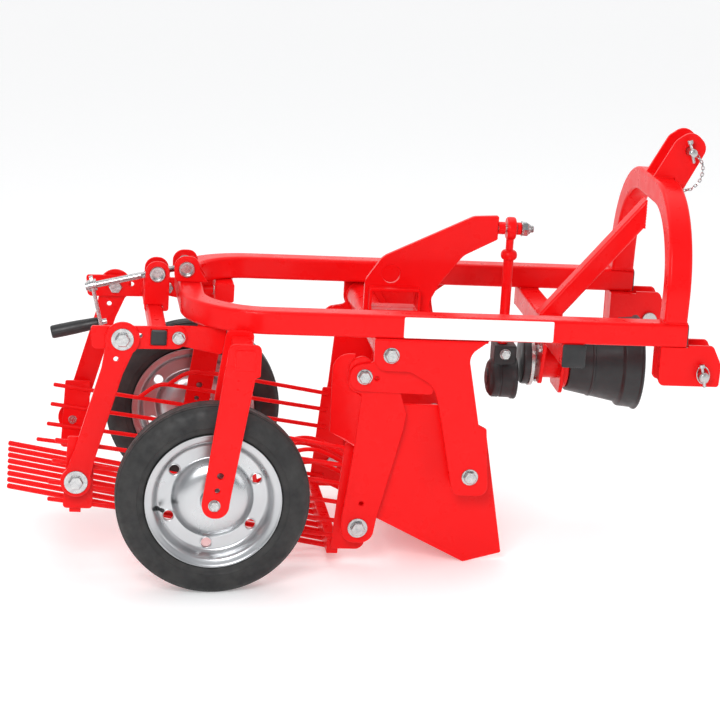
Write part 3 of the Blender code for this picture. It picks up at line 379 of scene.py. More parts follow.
def frames_along(points, up):
    """For each point of a path: the way along it, a way across it, and the way square to both."""
    found = []
    side = None
    for index, point in enumerate(points):
        before = points[max(index - 1, 0)]
        after = points[min(index + 1, len(points) - 1)]
        along = (after - before).normalized()
        side = (side - along * side.dot(along)).normalized() if side else along.cross(up).normalized()
        found.append((along, side, along.cross(side).normalized()))
    return found


def add_wire(mesh, points, radius, sides=10, up=Vector((0, 1, 0))):
    """A round wire or rod along a path, with domed ends."""
    rings = []
    for point, (along, side, other) in zip(points, frames_along(points, up)):
        rings.append([point + side * a + other * b for a, b in circle((0, 0), radius, sides)])
    for end, neighbour in ((0, 1), (-1, -2)):
        out = (points[end] - points[neighbour]).normalized() * radius * 0.5
        dome = [points[end] + (vertex - points[end]) * 0.55 + out for vertex in rings[end]]
        rings.insert(0, dome) if end == 0 else rings.append(dome)
    add_rings(mesh, rings)


def smooth_path(points, steps=6):
    """A curve through the points (Catmull-Rom)."""
    points = [Vector(point) for point in points]
    padded = [2 * points[0] - points[1], *points, 2 * points[-1] - points[-2]]
    path = []
    for a, b, c, d in zip(padded, padded[1:], padded[2:], padded[3:]):
        for step in range(steps):
            t = step / steps
            path.append(0.5 * (2 * b + (c - a) * t + (2 * a - 5 * b + 4 * c - d) * t * t
                               + (3 * b - a - 3 * c + d) * t * t * t))
    return path + [points[-1]]


def add_square_tube(mesh, points, normal, width, height, wall, corner=RAIL_CORNER, cuts=(None, None)):
    """A hollow square tube with open ends, carried along a flat path."""
    across, up = width / 2, height / 2
    sections = [box(-across, -up, across, up, corner, 5),
                box(wall - across, wall - up, across - wall, up - wall, max(corner - wall, 0.001), 5)]
    skins = []
    for section in sections:
        rings = []
        for index, point in enumerate(points):
            before = points[max(index - 1, 0)]
            after = points[min(index + 1, len(points) - 1)]
            side = (after - before).normalized().cross(normal).normalized()
            rings.append([point + side * a + normal * b for a, b in section])
        for end, plane in zip((0, -1), cuts):
            if plane is None:
                continue
            along = (points[1] - points[0] if end == 0 else points[-1] - points[-2]).normalized()
            place, facing = plane
            rings[end] = [p + along * ((place - p).dot(facing) / along.dot(facing)) for p in rings[end]]
        skins.append([[mesh.verts.new(point) for point in ring] for ring in rings])
    count = len(skins[0][0])
    for step in range(count):
        after = (step + 1) % count
        for skin in skins:
            for row, following in zip(skin, skin[1:]):
                mesh.faces.new((row[step], row[after], following[after], following[step]))
        for end in (0, -1):
            outer, inner = skins[0][end], skins[1][end]
            mesh.faces.new((outer[step], outer[after], inner[after], inner[step]))


def add_hex(mesh, centre, direction, length, flats, lift=0.0):
    """A hexagonal head or nut with its corners turned down, standing out along a direction."""
    spin = Vector(direction).to_track_quat("Z", "Y").to_matrix()
    radius = flats / math.sqrt(3)
    base = Vector(centre) + Vector(direction).normalized() * lift
    rings = []
    for along, size in ((0.0, 0.94), (length * 0.08, 1.0), (length * 0.80, 1.0), (length, 0.86)):
        rings.append([base + spin @ Vector((*point, along)) for point in circle((0, 0), radius * size, 6)])
    add_rings(mesh, rings)


def add_washer(mesh, centre, direction, radius, thickness, lift=0.0, bore=0.0):
    base = Vector(centre) + Vector(direction).normalized() * lift
    outside = [(0.0, radius - 0.0006), (0.0006, radius), (thickness - 0.0006, radius),
               (thickness, radius - 0.0006)]
    profile = [(0.0, 0.0), *outside, (thickness, 0.0)]
    if bore:
        profile = [(0.0, bore), *outside, (thickness, bore)]
    add_turned(mesh, profile, base, direction, 32)


def add_bolt(mesh, centre, direction, size, washer=0.0, head=None, stud=0.0):
    """A hex head on its washer, with the thread's end standing out of it where asked."""
    lift = 0.0
    if washer:
        add_washer(mesh, centre, direction, washer, 0.0026)
        lift = 0.0024
    head = head or size * 0.62
    add_hex(mesh, centre, direction, head, size * 1.5, lift)
    if stud:
        base = Vector(centre) + Vector(direction).normalized() * (lift + head * 0.9)
        add_thread(mesh, base, direction, stud, size / 2)
    else:
        tip = Vector(centre) + Vector(direction).normalized() * (lift + head - 0.0002)
        add_turned(mesh, [(0, 0), (0, size * 0.48), (0.0006, size * 0.46), (0.0006, 0)], tip, direction, 24)


def cylinder_profile(length, radius):
    return eased([(0, 0), (0, radius), (length, radius), (length, 0)])


def add_pivot_bolt(mesh, place, side, face, washer, head, length, radius, nut=None):
    """A bolt through a pivot: a washer and a head outside a face, the shank inwards, and a nut where asked.
    The washer is (radius, thickness), the head is (length, flats), and the nut is (face, length, flats)."""
    add_washer(mesh, at(place, side * face), (0, side, 0), *washer)
    add_hex(mesh, at(place, side * (face + washer[1] - 0.0002)), (0, side, 0), *head)
    add_turned(mesh, cylinder_profile(length, radius), at(place, side * face), (0, -side, 0), 32)
    if nut:
        add_hex(mesh, at(place, side * nut[0]), (0, -side, 0), *nut[1:])


def add_thread(mesh, base, direction, length, radius, pitch=0.0022):
    """A threaded shank: rings that rise and fall by the thread's depth."""
    profile = [(0, 0)]
    count = int(length / pitch)
    for turn in range(count):
        profile.append((turn * pitch, radius * 0.88))
        profile.append(((turn + 0.5) * pitch, radius))
    profile += [(length - 0.0006, radius * 0.90), (length, radius * 0.78), (length, 0)]
    add_turned(mesh, profile, base, direction, 18)


def add_weld(mesh, points, radius=0.0028, seed=0):
    """A weld bead along a path, its ripples a little uneven."""
    points = [Vector(point) for point in points]
    path = []
    for start, end in zip(points, points[1:]):
        count = max(2, int((end - start).length / 0.0022))
        path += [start.lerp(end, step / count) for step in range(count)]
    path.append(points[-1])
    rings = []
    frames = frames_along(path, Vector((0.3, 0.5, 0.8)))
    for index, (point, (_, side, other)) in enumerate(zip(path, frames)):
        size = radius * (1.0 + 0.16 * math.sin(index * 2.1 + seed) + 0.07 * math.sin(index * 0.37 + 2 * seed))
        rings.append([point + side * a + other * b for a, b in circle((0, 0), size, 7)])
    add_rings(mesh, rings)


def ring_path(centre, radius, axis, turns=1.0, count=28, start=0.0):
    """Points round a circle square to an axis."""
    spin = Vector(axis).to_track_quat("Z", "Y").to_matrix()
    return [Vector(centre) + spin @ Vector((radius * math.cos(start + t), radius * math.sin(start + t), 0))
            for t in (2 * math.pi * turns * step / count for step in range(count + 1))]


def at(place, y):
    return Vector((place[0], y, place[1]))


# --- Frame and hitch ---


def frame_path():
    """The middle line of the U-shaped tube, from the right rail's end round to the left's."""
    rear = FRAME_REAR + RAIL / 2
    points = [Vector((RAIL_FRONT, -RAIL_OFFSET, RAIL_BOTTOM + RAIL / 2))]
    for side in (-1, 1):
        for step in range(21):
            turn = math.radians(90) * step / 20
            if side < 0:
                x = rear + BEND_RADIUS * (1 - math.sin(turn))
                y = -RAIL_OFFSET + BEND_RADIUS * (1 - math.cos(turn))
            else:
                x = rear + BEND_RADIUS * (1 - math.cos(turn))
                y = RAIL_OFFSET - BEND_RADIUS * (1 - math.sin(turn))
            points.append(Vector((x, y, RAIL_BOTTOM + RAIL / 2)))
    points.append(Vector((RAIL_FRONT, RAIL_OFFSET, RAIL_BOTTOM + RAIL / 2)))
    return points


def add_plug(mesh, centre, direction, size):
    """A square tube's moulded end plug, a little domed."""
    along = Vector(direction).normalized()
    up = Vector((0, 0, 1))
    side = along.cross(up).normalized()
    rings = []
    sections = ((-0.012, 0.80), (0.0002, 0.80), (0.0004, 0.97), (0.002, 0.95), (0.0034, 0.80), (0.004, 0.40))
    for reach, share in sections:
        half = size / 2 * share
        outline = box(-half, -half, half, half, 0.005 * share, 3)
        rings.append([Vector(centre) + along * reach + side * a + up * b for a, b in outline])
    add_rings(mesh, rings)


def make_main_frame():
    mesh = bmesh.new()
    add_square_tube(mesh, frame_path(), Vector((0, 0, 1)), RAIL, RAIL, RAIL_WALL)
    piece("main_frame_tube", mesh, RED, "frame", "main_frame")
    plugs = bmesh.new()
    for side in (-1, 1):
        add_plug(plugs, (RAIL_FRONT, side * RAIL_OFFSET, RAIL_BOTTOM + RAIL / 2), (1, 0, 0), RAIL)
        middle = (CROSS_TUBE_REAR + RAIL / 2, side * (RAIL_OUTSIDE - 0.002), RAIL_BOTTOM - RAIL / 2 - GAP)
        add_plug(plugs, middle, (0, side, 0), RAIL * 1.03)
    piece("tube_end_plugs", plugs, BLACK, "frame")


def on_arch(forward, rise):
    """The (x, z) of a place ahead of the arch's middle line and up along its lean."""
    lean, upright = math.sin(ARCH_LEAN), math.cos(ARCH_LEAN)
    x = ARCH_FOOT + forward * upright + rise * lean
    return x, RAIL_TOP + rise * upright - forward * lean


def make_arch():
    foot = Vector((ARCH_FOOT, 0.0, RAIL_TOP + GAP))
    up = Vector((math.sin(ARCH_LEAN), 0.0, math.cos(ARCH_LEAN)))
    half = RAIL_OFFSET - 0.002
    leg = ARCH_HEIGHT - RAIL_TOP - RAIL / 2 - ARCH_SHOULDER
    flat = half - ARCH_SHOULDER
    shape = [(-half, 0.0)]
    for step in range(25):
        turn = math.radians(90) * step / 24
        shape.append((-flat - ARCH_SHOULDER * math.cos(turn), leg + ARCH_SHOULDER * math.sin(turn)))
    shape += [(-across, rise) for across, rise in reversed(shape)]
    points = [foot + Vector((0, across, 0)) + up * rise for across, rise in shape]
    level = Vector((0, 0, 1))
    mesh = bmesh.new()
    cuts = ((foot, level), (foot, level))
    ahead = up.cross(Vector((0, 1, 0))).normalized()
    add_square_tube(mesh, points, ahead, RAIL, RAIL, RAIL_WALL, RAIL_CORNER, cuts)
    piece("hitch_arch_tube", mesh, RED, "frame", "hitch_arch")
    welds = bmesh.new()
    edge = RAIL / 2 - 0.001
    for side in (-1, 1):
        corners = [(foot.x + a * edge, side * half + b * edge) for a, b in AROUND]
        add_weld(welds, [(x, y, RAIL_TOP + 0.001) for x, y in corners], 0.0026, side)
    piece("arch_welds", welds, RED, "frame")


def make_brace():
    foot = Vector((CROSS_TUBE_REAR + RAIL / 2, 0.0, RAIL_BOTTOM))
    head_x, head_z = on_arch(-RAIL / 2 - GAP, BRACE_HEAD - RAIL_TOP)
    head = Vector((head_x, 0.0, head_z))
    facing = Vector((math.cos(ARCH_LEAN), 0.0, -math.sin(ARCH_LEAN)))
    mesh = bmesh.new()
    cuts = ((foot, Vector((0, 0, 1))), (head, facing))
    add_square_tube(mesh, [foot, head], Vector((0, 1, 0)), 0.040, 0.040, 0.003, 0.006, cuts)
    piece("brace_tube", mesh, RED, "frame", "brace")
    cross = bmesh.new()
    middle = RAIL_BOTTOM - GAP - RAIL / 2
    ends = [Vector((foot.x, side * (RAIL_OUTSIDE - 0.002), middle)) for side in (-1, 1)]
    add_square_tube(cross, ends, Vector((0, 0, 1)), RAIL, RAIL, RAIL_WALL)
    piece("cross_tube_body", cross, RED, "frame", "cross_tube")
    welds = bmesh.new()
    slope = (head - foot).normalized()
    run = 0.020 / slope.z
    for y in (-0.0195, 0.0195):
        add_weld(welds, [(foot.x - run, y, RAIL_BOTTOM), (foot.x + run, y, RAIL_BOTTOM)], 0.0024, y)
        rise = 0.020 / slope.x
        add_weld(welds, [head + Vector((0, y, -rise)), head + Vector((0, y, rise))], 0.0024, 1 + y)
    for side in (-1, 1):
        y = side * (RAIL_OFFSET - RAIL / 2 + 0.002)
        ends = [(x, y, RAIL_BOTTOM - 0.001) for x in (CROSS_TUBE_REAR + 0.004,
                                                      CROSS_TUBE_REAR + RAIL - 0.004)]
        add_weld(welds, ends, 0.0024, side)
    piece("brace_welds", welds, RED, "frame")


def add_linch_pin(mesh, centre, across, down, size=0.016):
    """A linch pin: a short pin through the end of a hitch pin, and its sprung wire ring."""
    across, down = Vector(across).normalized(), Vector(down).normalized()
    centre = Vector(centre)
    add_wire(mesh, [centre - down * 0.020, centre + down * 0.022], 0.0035, 12, across)
    add_turned(mesh, eased([(0, 0), (0, 0.0062), (0.008, 0.0062), (0.008, 0)]), centre - down * 0.027, down,
               16)
    ring = []
    for step in range(31):
        turn = 2 * math.pi * step / 30
        sag = down * size * 1.35 * (1 - math.cos(turn))
        ring.append(centre - down * 0.023 + across * size * math.sin(turn) * 0.95 + sag)
    add_wire(mesh, ring, 0.0013, 8, across.cross(down))


def add_chain(mesh, route, link=0.011, wire=0.0012):
    """A light chain of welded links along a route, each link turned a quarter from the last."""
    lengths = [0.0]
    for start, end in zip(route, route[1:]):
        lengths.append(lengths[-1] + (end - start).length)
    pitch = link - 3.2 * wire
    count = int(lengths[-1] / pitch)
    segment = 0
    for index in range(count):
        reach = (index + 0.5) * pitch
        while lengths[segment + 1] < reach:
            segment += 1
        share = (reach - lengths[segment]) / (lengths[segment + 1] - lengths[segment])
        centre = route[segment].lerp(route[segment + 1], share)
        along = (route[segment + 1] - route[segment]).normalized()
        side = along.cross(Vector((0.31, 0.83, 0.46))).normalized()
        if index % 2:
            side = along.cross(side).normalized()
        half, width = link / 2 - wire, link * 0.26
        loop = []
        for step in range(17):
            turn = 2 * math.pi * step / 16
            straight = (half - width) * (1 if math.cos(turn) > 0 else -1)
            loop.append(centre + along * (straight + width * math.cos(turn)) + side * width * math.sin(turn))
        add_wire(mesh, loop, wire, 6, along.cross(side))


def make_top_link():
    x, z = TOP_PIN
    r = 0.030
    crown = ARCH_HEIGHT - RAIL_TOP + 0.0006
    foot = crown - 0.042
    ahead = on_arch(RAIL / 2 + GAP, foot)
    outline = rounded([
        (*on_arch(-RAIL / 2 + 0.004, crown), 0.0), (x - r * 1.05, z + r * 0.72, r * 0.9),
        (x + r * 0.15, z + r * 1.55, r * 0.9), (x + r * 1.35, z + r * 0.35, r * 0.9),
        (ahead[0] + 0.013, ahead[1], 0.004), (*ahead, 0.0), (*on_arch(RAIL / 2 + GAP, crown), 0.0),
    ])
    hole = circle(TOP_PIN, 0.0098, 32)
    welds = bmesh.new()
    for name, side in SIDES.items():
        plate_piece(f"top_link_ear_{name}", side, "frame", f"top_link_plate_{name}", 0.039, outline, [hole])
        for y in (side * 0.0305, side * 0.0395):
            rear = on_arch(-RAIL / 2 + 0.006, crown + 0.0005)
            front = on_arch(RAIL / 2 - 0.002, crown + 0.0005)
            add_weld(welds, [at(rear, y), at(front, y)], 0.0025, y * 90)
    piece("top_link_welds", welds, RED, "frame")
    mesh = bmesh.new()
    reach = 0.039
    add_turned(mesh, eased([(0, 0), (0, 0.016), (0.008, 0.016), (0.008, 0.0095), (0.117, 0.0095),
                            (0.120, 0.0065),
                            (0.120, 0)]), (x, reach + 0.0083, z), (0, -1, 0))
    piece("top_link_pin_bar", mesh, STEEL, "frame", "top_link_pin")
    clip = bmesh.new()
    add_linch_pin(clip, (x, -reach - 0.018, z), (0, 1, 0), (0.25, 0, -0.97), 0.012)
    piece("top_linch_pin", clip, BOLT, "frame")
    chain = bmesh.new()
    start = Vector((x + 0.010, -reach - 0.022, z - 0.004))
    route = smooth_path([start, start + Vector((0.014, -0.004, -0.022)),
                         start + Vector((0.012, -0.003, -0.052)),
                         start + Vector((-0.004, 0.002, -0.074)), start + Vector((-0.020, 0.016, -0.084)),
                         Vector((on_arch(RAIL / 2 + 0.003, foot - 0.012)[0], -0.044,
                                 RAIL_TOP + foot - 0.018))], 8)
    add_chain(chain, route)
    piece("top_pin_chain", chain, BOLT, "frame")


def make_lower_hitch():
    x, z = LOWER_PIN
    web_rear, top = 0.932, RAIL_BOTTOM - GAP
    nose = RAIL_FRONT + 0.006
    plate = rounded([
        (web_rear, top, 0.0), (web_rear, 0.243, 0.012), (x + 0.038, 0.243, 0.006),
        (x + 0.040, z + 0.022, 0.012),
        (x + 0.020, top + 0.005, 0.010), (nose, top + 0.005, 0.0), (nose, top, 0.0),
    ])
    hole = circle(LOWER_PIN, 0.0113, 32)
    inner = HITCH_OUT - 0.068
    for name, side in SIDES.items():
        mesh = bmesh.new()
        add_side_plate(mesh, side, plate, HITCH_OUT, PLATE, [hole])
        add_side_plate(mesh, side, plate, inner + PLATE, PLATE, [hole])
        add_side_plate(mesh, side, box(web_rear + 0.0004, 0.2535, web_rear + 0.050, top), HITCH_OUT - 0.0075,
                       0.053)
        piece(f"lower_hitch_clevis_{name}", mesh, RED, "frame", f"lower_hitch_bracket_{name}")
        pin = bmesh.new()
        length = 0.068 + 0.036
        add_turned(pin, eased([(0, 0), (0, 0.017), (0.010, 0.017), (0.010, 0.011), (length - 0.004, 0.011),
                               (length, 0.007), (length, 0)]), (x, side * (inner - 0.0103), z), (0, side, 0))
        piece(f"lower_link_pin_bar_{name}", pin, STEEL, "frame", f"lower_link_pin_{name}")
        clip = bmesh.new()
        add_linch_pin(clip, (x, side * (HITCH_OUT + 0.013), z), (0.95, 0, 0.2), (0.2, 0, -0.95), 0.014)
        piece(f"lower_linch_pin_{name}", clip, BOLT, "frame")


# --- Power take-off ---


def make_pto():
    rear, front = CROSS_TUBE_REAR, CROSS_TUBE_REAR + RAIL
    top = RAIL_BOTTOM - RAIL - 0.0006
    bore = circle((0, PTO_HEIGHT), 0.018, 40)
    mesh = bmesh.new()
    for start, low in ((rear + 0.002, PTO_HEIGHT - 0.044), (front - 0.002, PTO_HEIGHT - 0.064)):
        hanger = rounded([(-0.085, top, 0.0), (0.085, top, 0.0), (0.050, low, 0.012), (-0.050, low, 0.012)])
        add_plate(mesh, hanger, "X", start, start + PLATE, [bore])
    tube = [(0.008, 0.018), (0.008, 0.040), (front - rear + 0.004, 0.040), (front - rear + 0.004, 0.0595),
            (0.0662, 0.060), (0.0677, 0.0585), (0.0677, 0.018)]
    add_turned(mesh, tube, (rear, 0, PTO_HEIGHT), (1, 0, 0), 56)
    piece("pto_bearing_bracket", mesh, RED, "frame", "pto_bracket")
    bolts = bmesh.new()
    for turn in range(4):
        angle = math.radians(45 + 90 * turn)
        spot = (rear + 0.002, 0.030 * math.cos(angle), PTO_HEIGHT - 0.004 + 0.050 * math.sin(angle))
        add_bolt(bolts, spot, (-1, 0, 0), 0.008)
    for y in (-0.064, 0.064):
        add_bolt(bolts, (rear + 0.002, y, top - 0.014), (-1, 0, 0), 0.010, 0.010)
    piece("pto_bracket_bolts", bolts, BOLT, "frame")

    wall = 0.003
    outside = [(0.790, 0.0645), (0.7915, 0.066), (0.838, 0.0754), (0.8395, 0.0772), (0.8435, 0.078),
               (0.845, 0.0768),
               (0.900, 0.0882), (0.903, 0.090), (0.906, 0.0955), (0.909, 0.0972), (0.938, 0.100),
               (0.941, 0.1008),
               (0.943, 0.1035), (0.9445, 0.104), (0.9465, 0.104), (0.948, 0.1025)]
    inside = [(along, radius - wall) for along, radius in reversed(outside[2:])]
    inside += [(0.794, 0.0625), (0.7935, 0.045), (0.790, 0.045)]
    guard = bmesh.new()
    add_turned(guard, outside + inside, (0, 0, PTO_HEIGHT), (1, 0, 0), 96)
    piece("pto_cone_guard", guard, BLACK, "frame", "pto_guard")

    shaft = bmesh.new()
    disc = 0.690
    add_turned(shaft, eased([(0.001, 0), (0.001, 0.030), (0.016, 0.030), (0.016, 0.058),
                             (0.024, 0.058), (0.024, 0.0175), (0.118, 0.0175), (0.120, 0.0155), (0.120, 0)]),
               (disc, 0, PTO_HEIGHT), (1, 0, 0), 64)
    teeth = 6
    outline = []
    for tooth in range(teeth):
        for turn, radius in ((0.00, 0.015), (0.16, 0.015), (0.20, 0.0174), (0.80, 0.0174), (0.84, 0.015)):
            angle = 2 * math.pi * (tooth + turn) / teeth
            outline.append(Vector((radius * math.cos(angle), PTO_HEIGHT + radius * math.sin(angle))))
    add_plate(shaft, outline, "X", disc + 0.119, disc + 0.2149)
    piece("pto_crank_shaft", shaft, STEEL, "pto_shaft", "pto_shaft")
    hub = bmesh.new()
    add_turned(hub, [(0, 0), (0, 0.050), (0.0015, 0.0535), (0.0045, 0.055), (0.0155, 0.055), (0.0155, 0)],
               (disc, 0, PTO_HEIGHT), (1, 0, 0), 64)
    piece("pto_crank_hub", hub, BLACK, "pto_shaft")


def make_connecting_rod():
    x, z = ROD_EYE
    foot = 0.2555
    mesh = bmesh.new()
    eye = z - foot - 0.012
    add_turned(mesh, eased([(0, 0), (0, 0.011), (0.186, 0.011), (0.1875, 0.0145), (0.191, 0.017),
                            (0.1955, 0.018),
                            (0.200, 0.0178), (0.2045, 0.016), (0.2075, 0.0125), (0.2085, 0.0082),
                            (eye, 0.0086),
                            (eye, 0)], 0.0004), (x, 0, foot), (0, 0, 1), 32)
    ring = [(-0.0095, 0.0086), (-0.0095, 0.0225), (-0.0082, 0.024), (-0.005, 0.025), (0.005, 0.025),
            (0.0082, 0.024), (0.0095, 0.0225), (0.0095, 0.0086)]
    add_turned(mesh, ring, (x, 0, z), (1, 0, 0), 40)
    piece("connecting_rod_bar", mesh, RED, "connecting_rod", "connecting_rod")
    body = bmesh.new()
    rear, height = 0.616, 0.178
    add_turned(body, [(0, 0), (0, 0.018), (0.003, 0.020), (0.003, 0.030), (0.0045, 0.034), (0.010, 0.041),
                      (0.014, 0.0435), (0.026, 0.0435), (0.027, 0.0425), (0.030, 0.0425), (0.031, 0.0435),
                      (0.052, 0.044), (0.0555, 0.0465), (0.063, 0.047), (0.065, 0.0455), (0.065, 0)],
               (rear, 0, height), (1, 0, 0), 72)
    add_plate(body, box(-0.026, height + 0.020, 0.026, foot - GAP, 0.005, 5), "X", 0.627, 0.676, (), 0.0015)
    piece("crank_bearing_housing", body, BLACK, "connecting_rod", "crank_housing")
    bolts = bmesh.new()
    add_bolt(bolts, (0.6515, -0.026, 0.236), (0, -1, 0), 0.013, 0.0122)
    piece("crank_housing_bolts", bolts, BOLT, "connecting_rod")
    jam = bmesh.new()
    add_hex(jam, (x, 0, foot + 0.004), (0, 0, 1), 0.010, 0.024)
    piece("rod_jam_nut", jam, BOLT, "connecting_rod")


# --- Share ---


def make_share():
    x, z = ROCKER
    top = RAIL_BOTTOM - GAP
    support = rounded([
        (x - 0.036, top, 0.0), (x - 0.036, z - 0.034, 0.030), (0.405, z - 0.034, 0.030),
        (0.455, 0.228, 0.040),
        (0.468, 0.190, 0.010), (0.507, 0.010, 0.0), (0.513, -0.008, 0.020), (0.586, -0.008, 0.020),
        (0.574, 0.138, 0.004), (0.557, 0.143, 0.004), (0.526, 0.296, 0.030), (0.566, top, 0.0),
    ])
    side_shape = rounded([
        (0.398, 0.176, 0.0), (0.480, 0.176, 0.010), (0.580, 0.127, 0.008), (0.631, -0.145, 0.004),
        (*SHARE_POINT, 0.006), (0.352, -0.0715, 0.010),
    ])
    rise = math.atan2(-0.0715 - SHARE_POINT[1], SHARE_POINT[0] - 0.352)
    up_slope = Vector((-math.cos(rise), math.sin(rise)))
    off_slope = Vector((math.sin(rise), math.cos(rise)))
    edge = Vector(SHARE_POINT) + up_slope * 0.004 + off_slope * 0.0025
    thick, length = 0.010, 0.178
    section = ((0, 0), (0.0015, 0.0025), (0.030, thick), (length - 0.001, thick), (length, thick - 0.001),
               (length, 0))
    blade = [edge + up_slope * along + off_slope * off for along, off in section]
    bolts, welds = bmesh.new(), bmesh.new()
    for name, side in SIDES.items():
        mesh = bmesh.new()
        add_side_plate(mesh, side, support, SUPPORT_OUT, 0.010, [circle(ROCKER, 0.0088, 32)])
        inner = SUPPORT_OUT - 0.010
        ends = sorted((side * (inner + 0.002), side * (SHARE_OUT + GAP)))
        add_plate(mesh, circle(SHARE_BOLT, 0.016, 32), "Y", ends[0], ends[1], (), 0.0)
        piece(f"share_support_plate_{name}", mesh, RED, "frame", f"share_support_{name}")
        plate_piece(f"share_side_plate_{name}", side, "frame", f"share_side_{name}", SHARE_OUT, side_shape,
                    [circle(SHARE_BOLT, 0.008, 24)])
        add_bolt(bolts, at(SHARE_BOLT, side * SUPPORT_OUT), (0, side, 0), 0.016, 0.0175)
        add_bolt(bolts, at(SHARE_BOLT, side * (SHARE_OUT - 0.008)), (0, -side, 0), 0.016, 0.0175, None, 0.006)
        for y in (side * (SUPPORT_OUT - 0.0002), side * (inner + 0.0002)):
            add_weld(welds, [at((x - 0.034, top - 0.002), y), at((0.564, top - 0.002), y)], 0.0024, y * 50)
        start, end = edge + off_slope * thick, edge + off_slope * thick + up_slope * length
        y = side * (SHARE_OUT - 0.0085)
        add_weld(welds, [at(start + up_slope * 0.034, y), at(end, y)], 0.0028, side)
    mesh = bmesh.new()
    reach = SHARE_OUT - 0.0083
    add_plate(mesh, blade, "Y", -reach, reach, (), 0.0)
    piece("share_blade_plate", mesh, RED, "frame", "share_blade")
    piece("share_bolts", bolts, BOLT, "frame")
    piece("share_welds", welds, RED, "frame")


# --- Rocker and swing arms ---


def add_wing(mesh, side):
    """The folded sheet behind an arm, which leans in from the arm's rear edge."""
    fold, lean = 0.304, 0.5
    outline = rounded([
        (0.312, 0.090, 0.0), (fold, 0.085, 0.0), (0.250, 0.110, 0.004), (0.248, 0.284, 0.040),
        (0.292, 0.284, 0.0),
        (0.292, 0.205, 0.0), (fold, 0.199, 0.0), (0.312, 0.195, 0.0),
    ])
    first = len(mesh.verts)
    add_side_plate(mesh, side, outline, ARM_OUT, 0.006, (), 0.0006)
    mesh.verts.ensure_lookup_table()
    for vertex in mesh.verts[first:]:
        vertex.co.y -= side * lean * max(fold - vertex.co.x, 0)


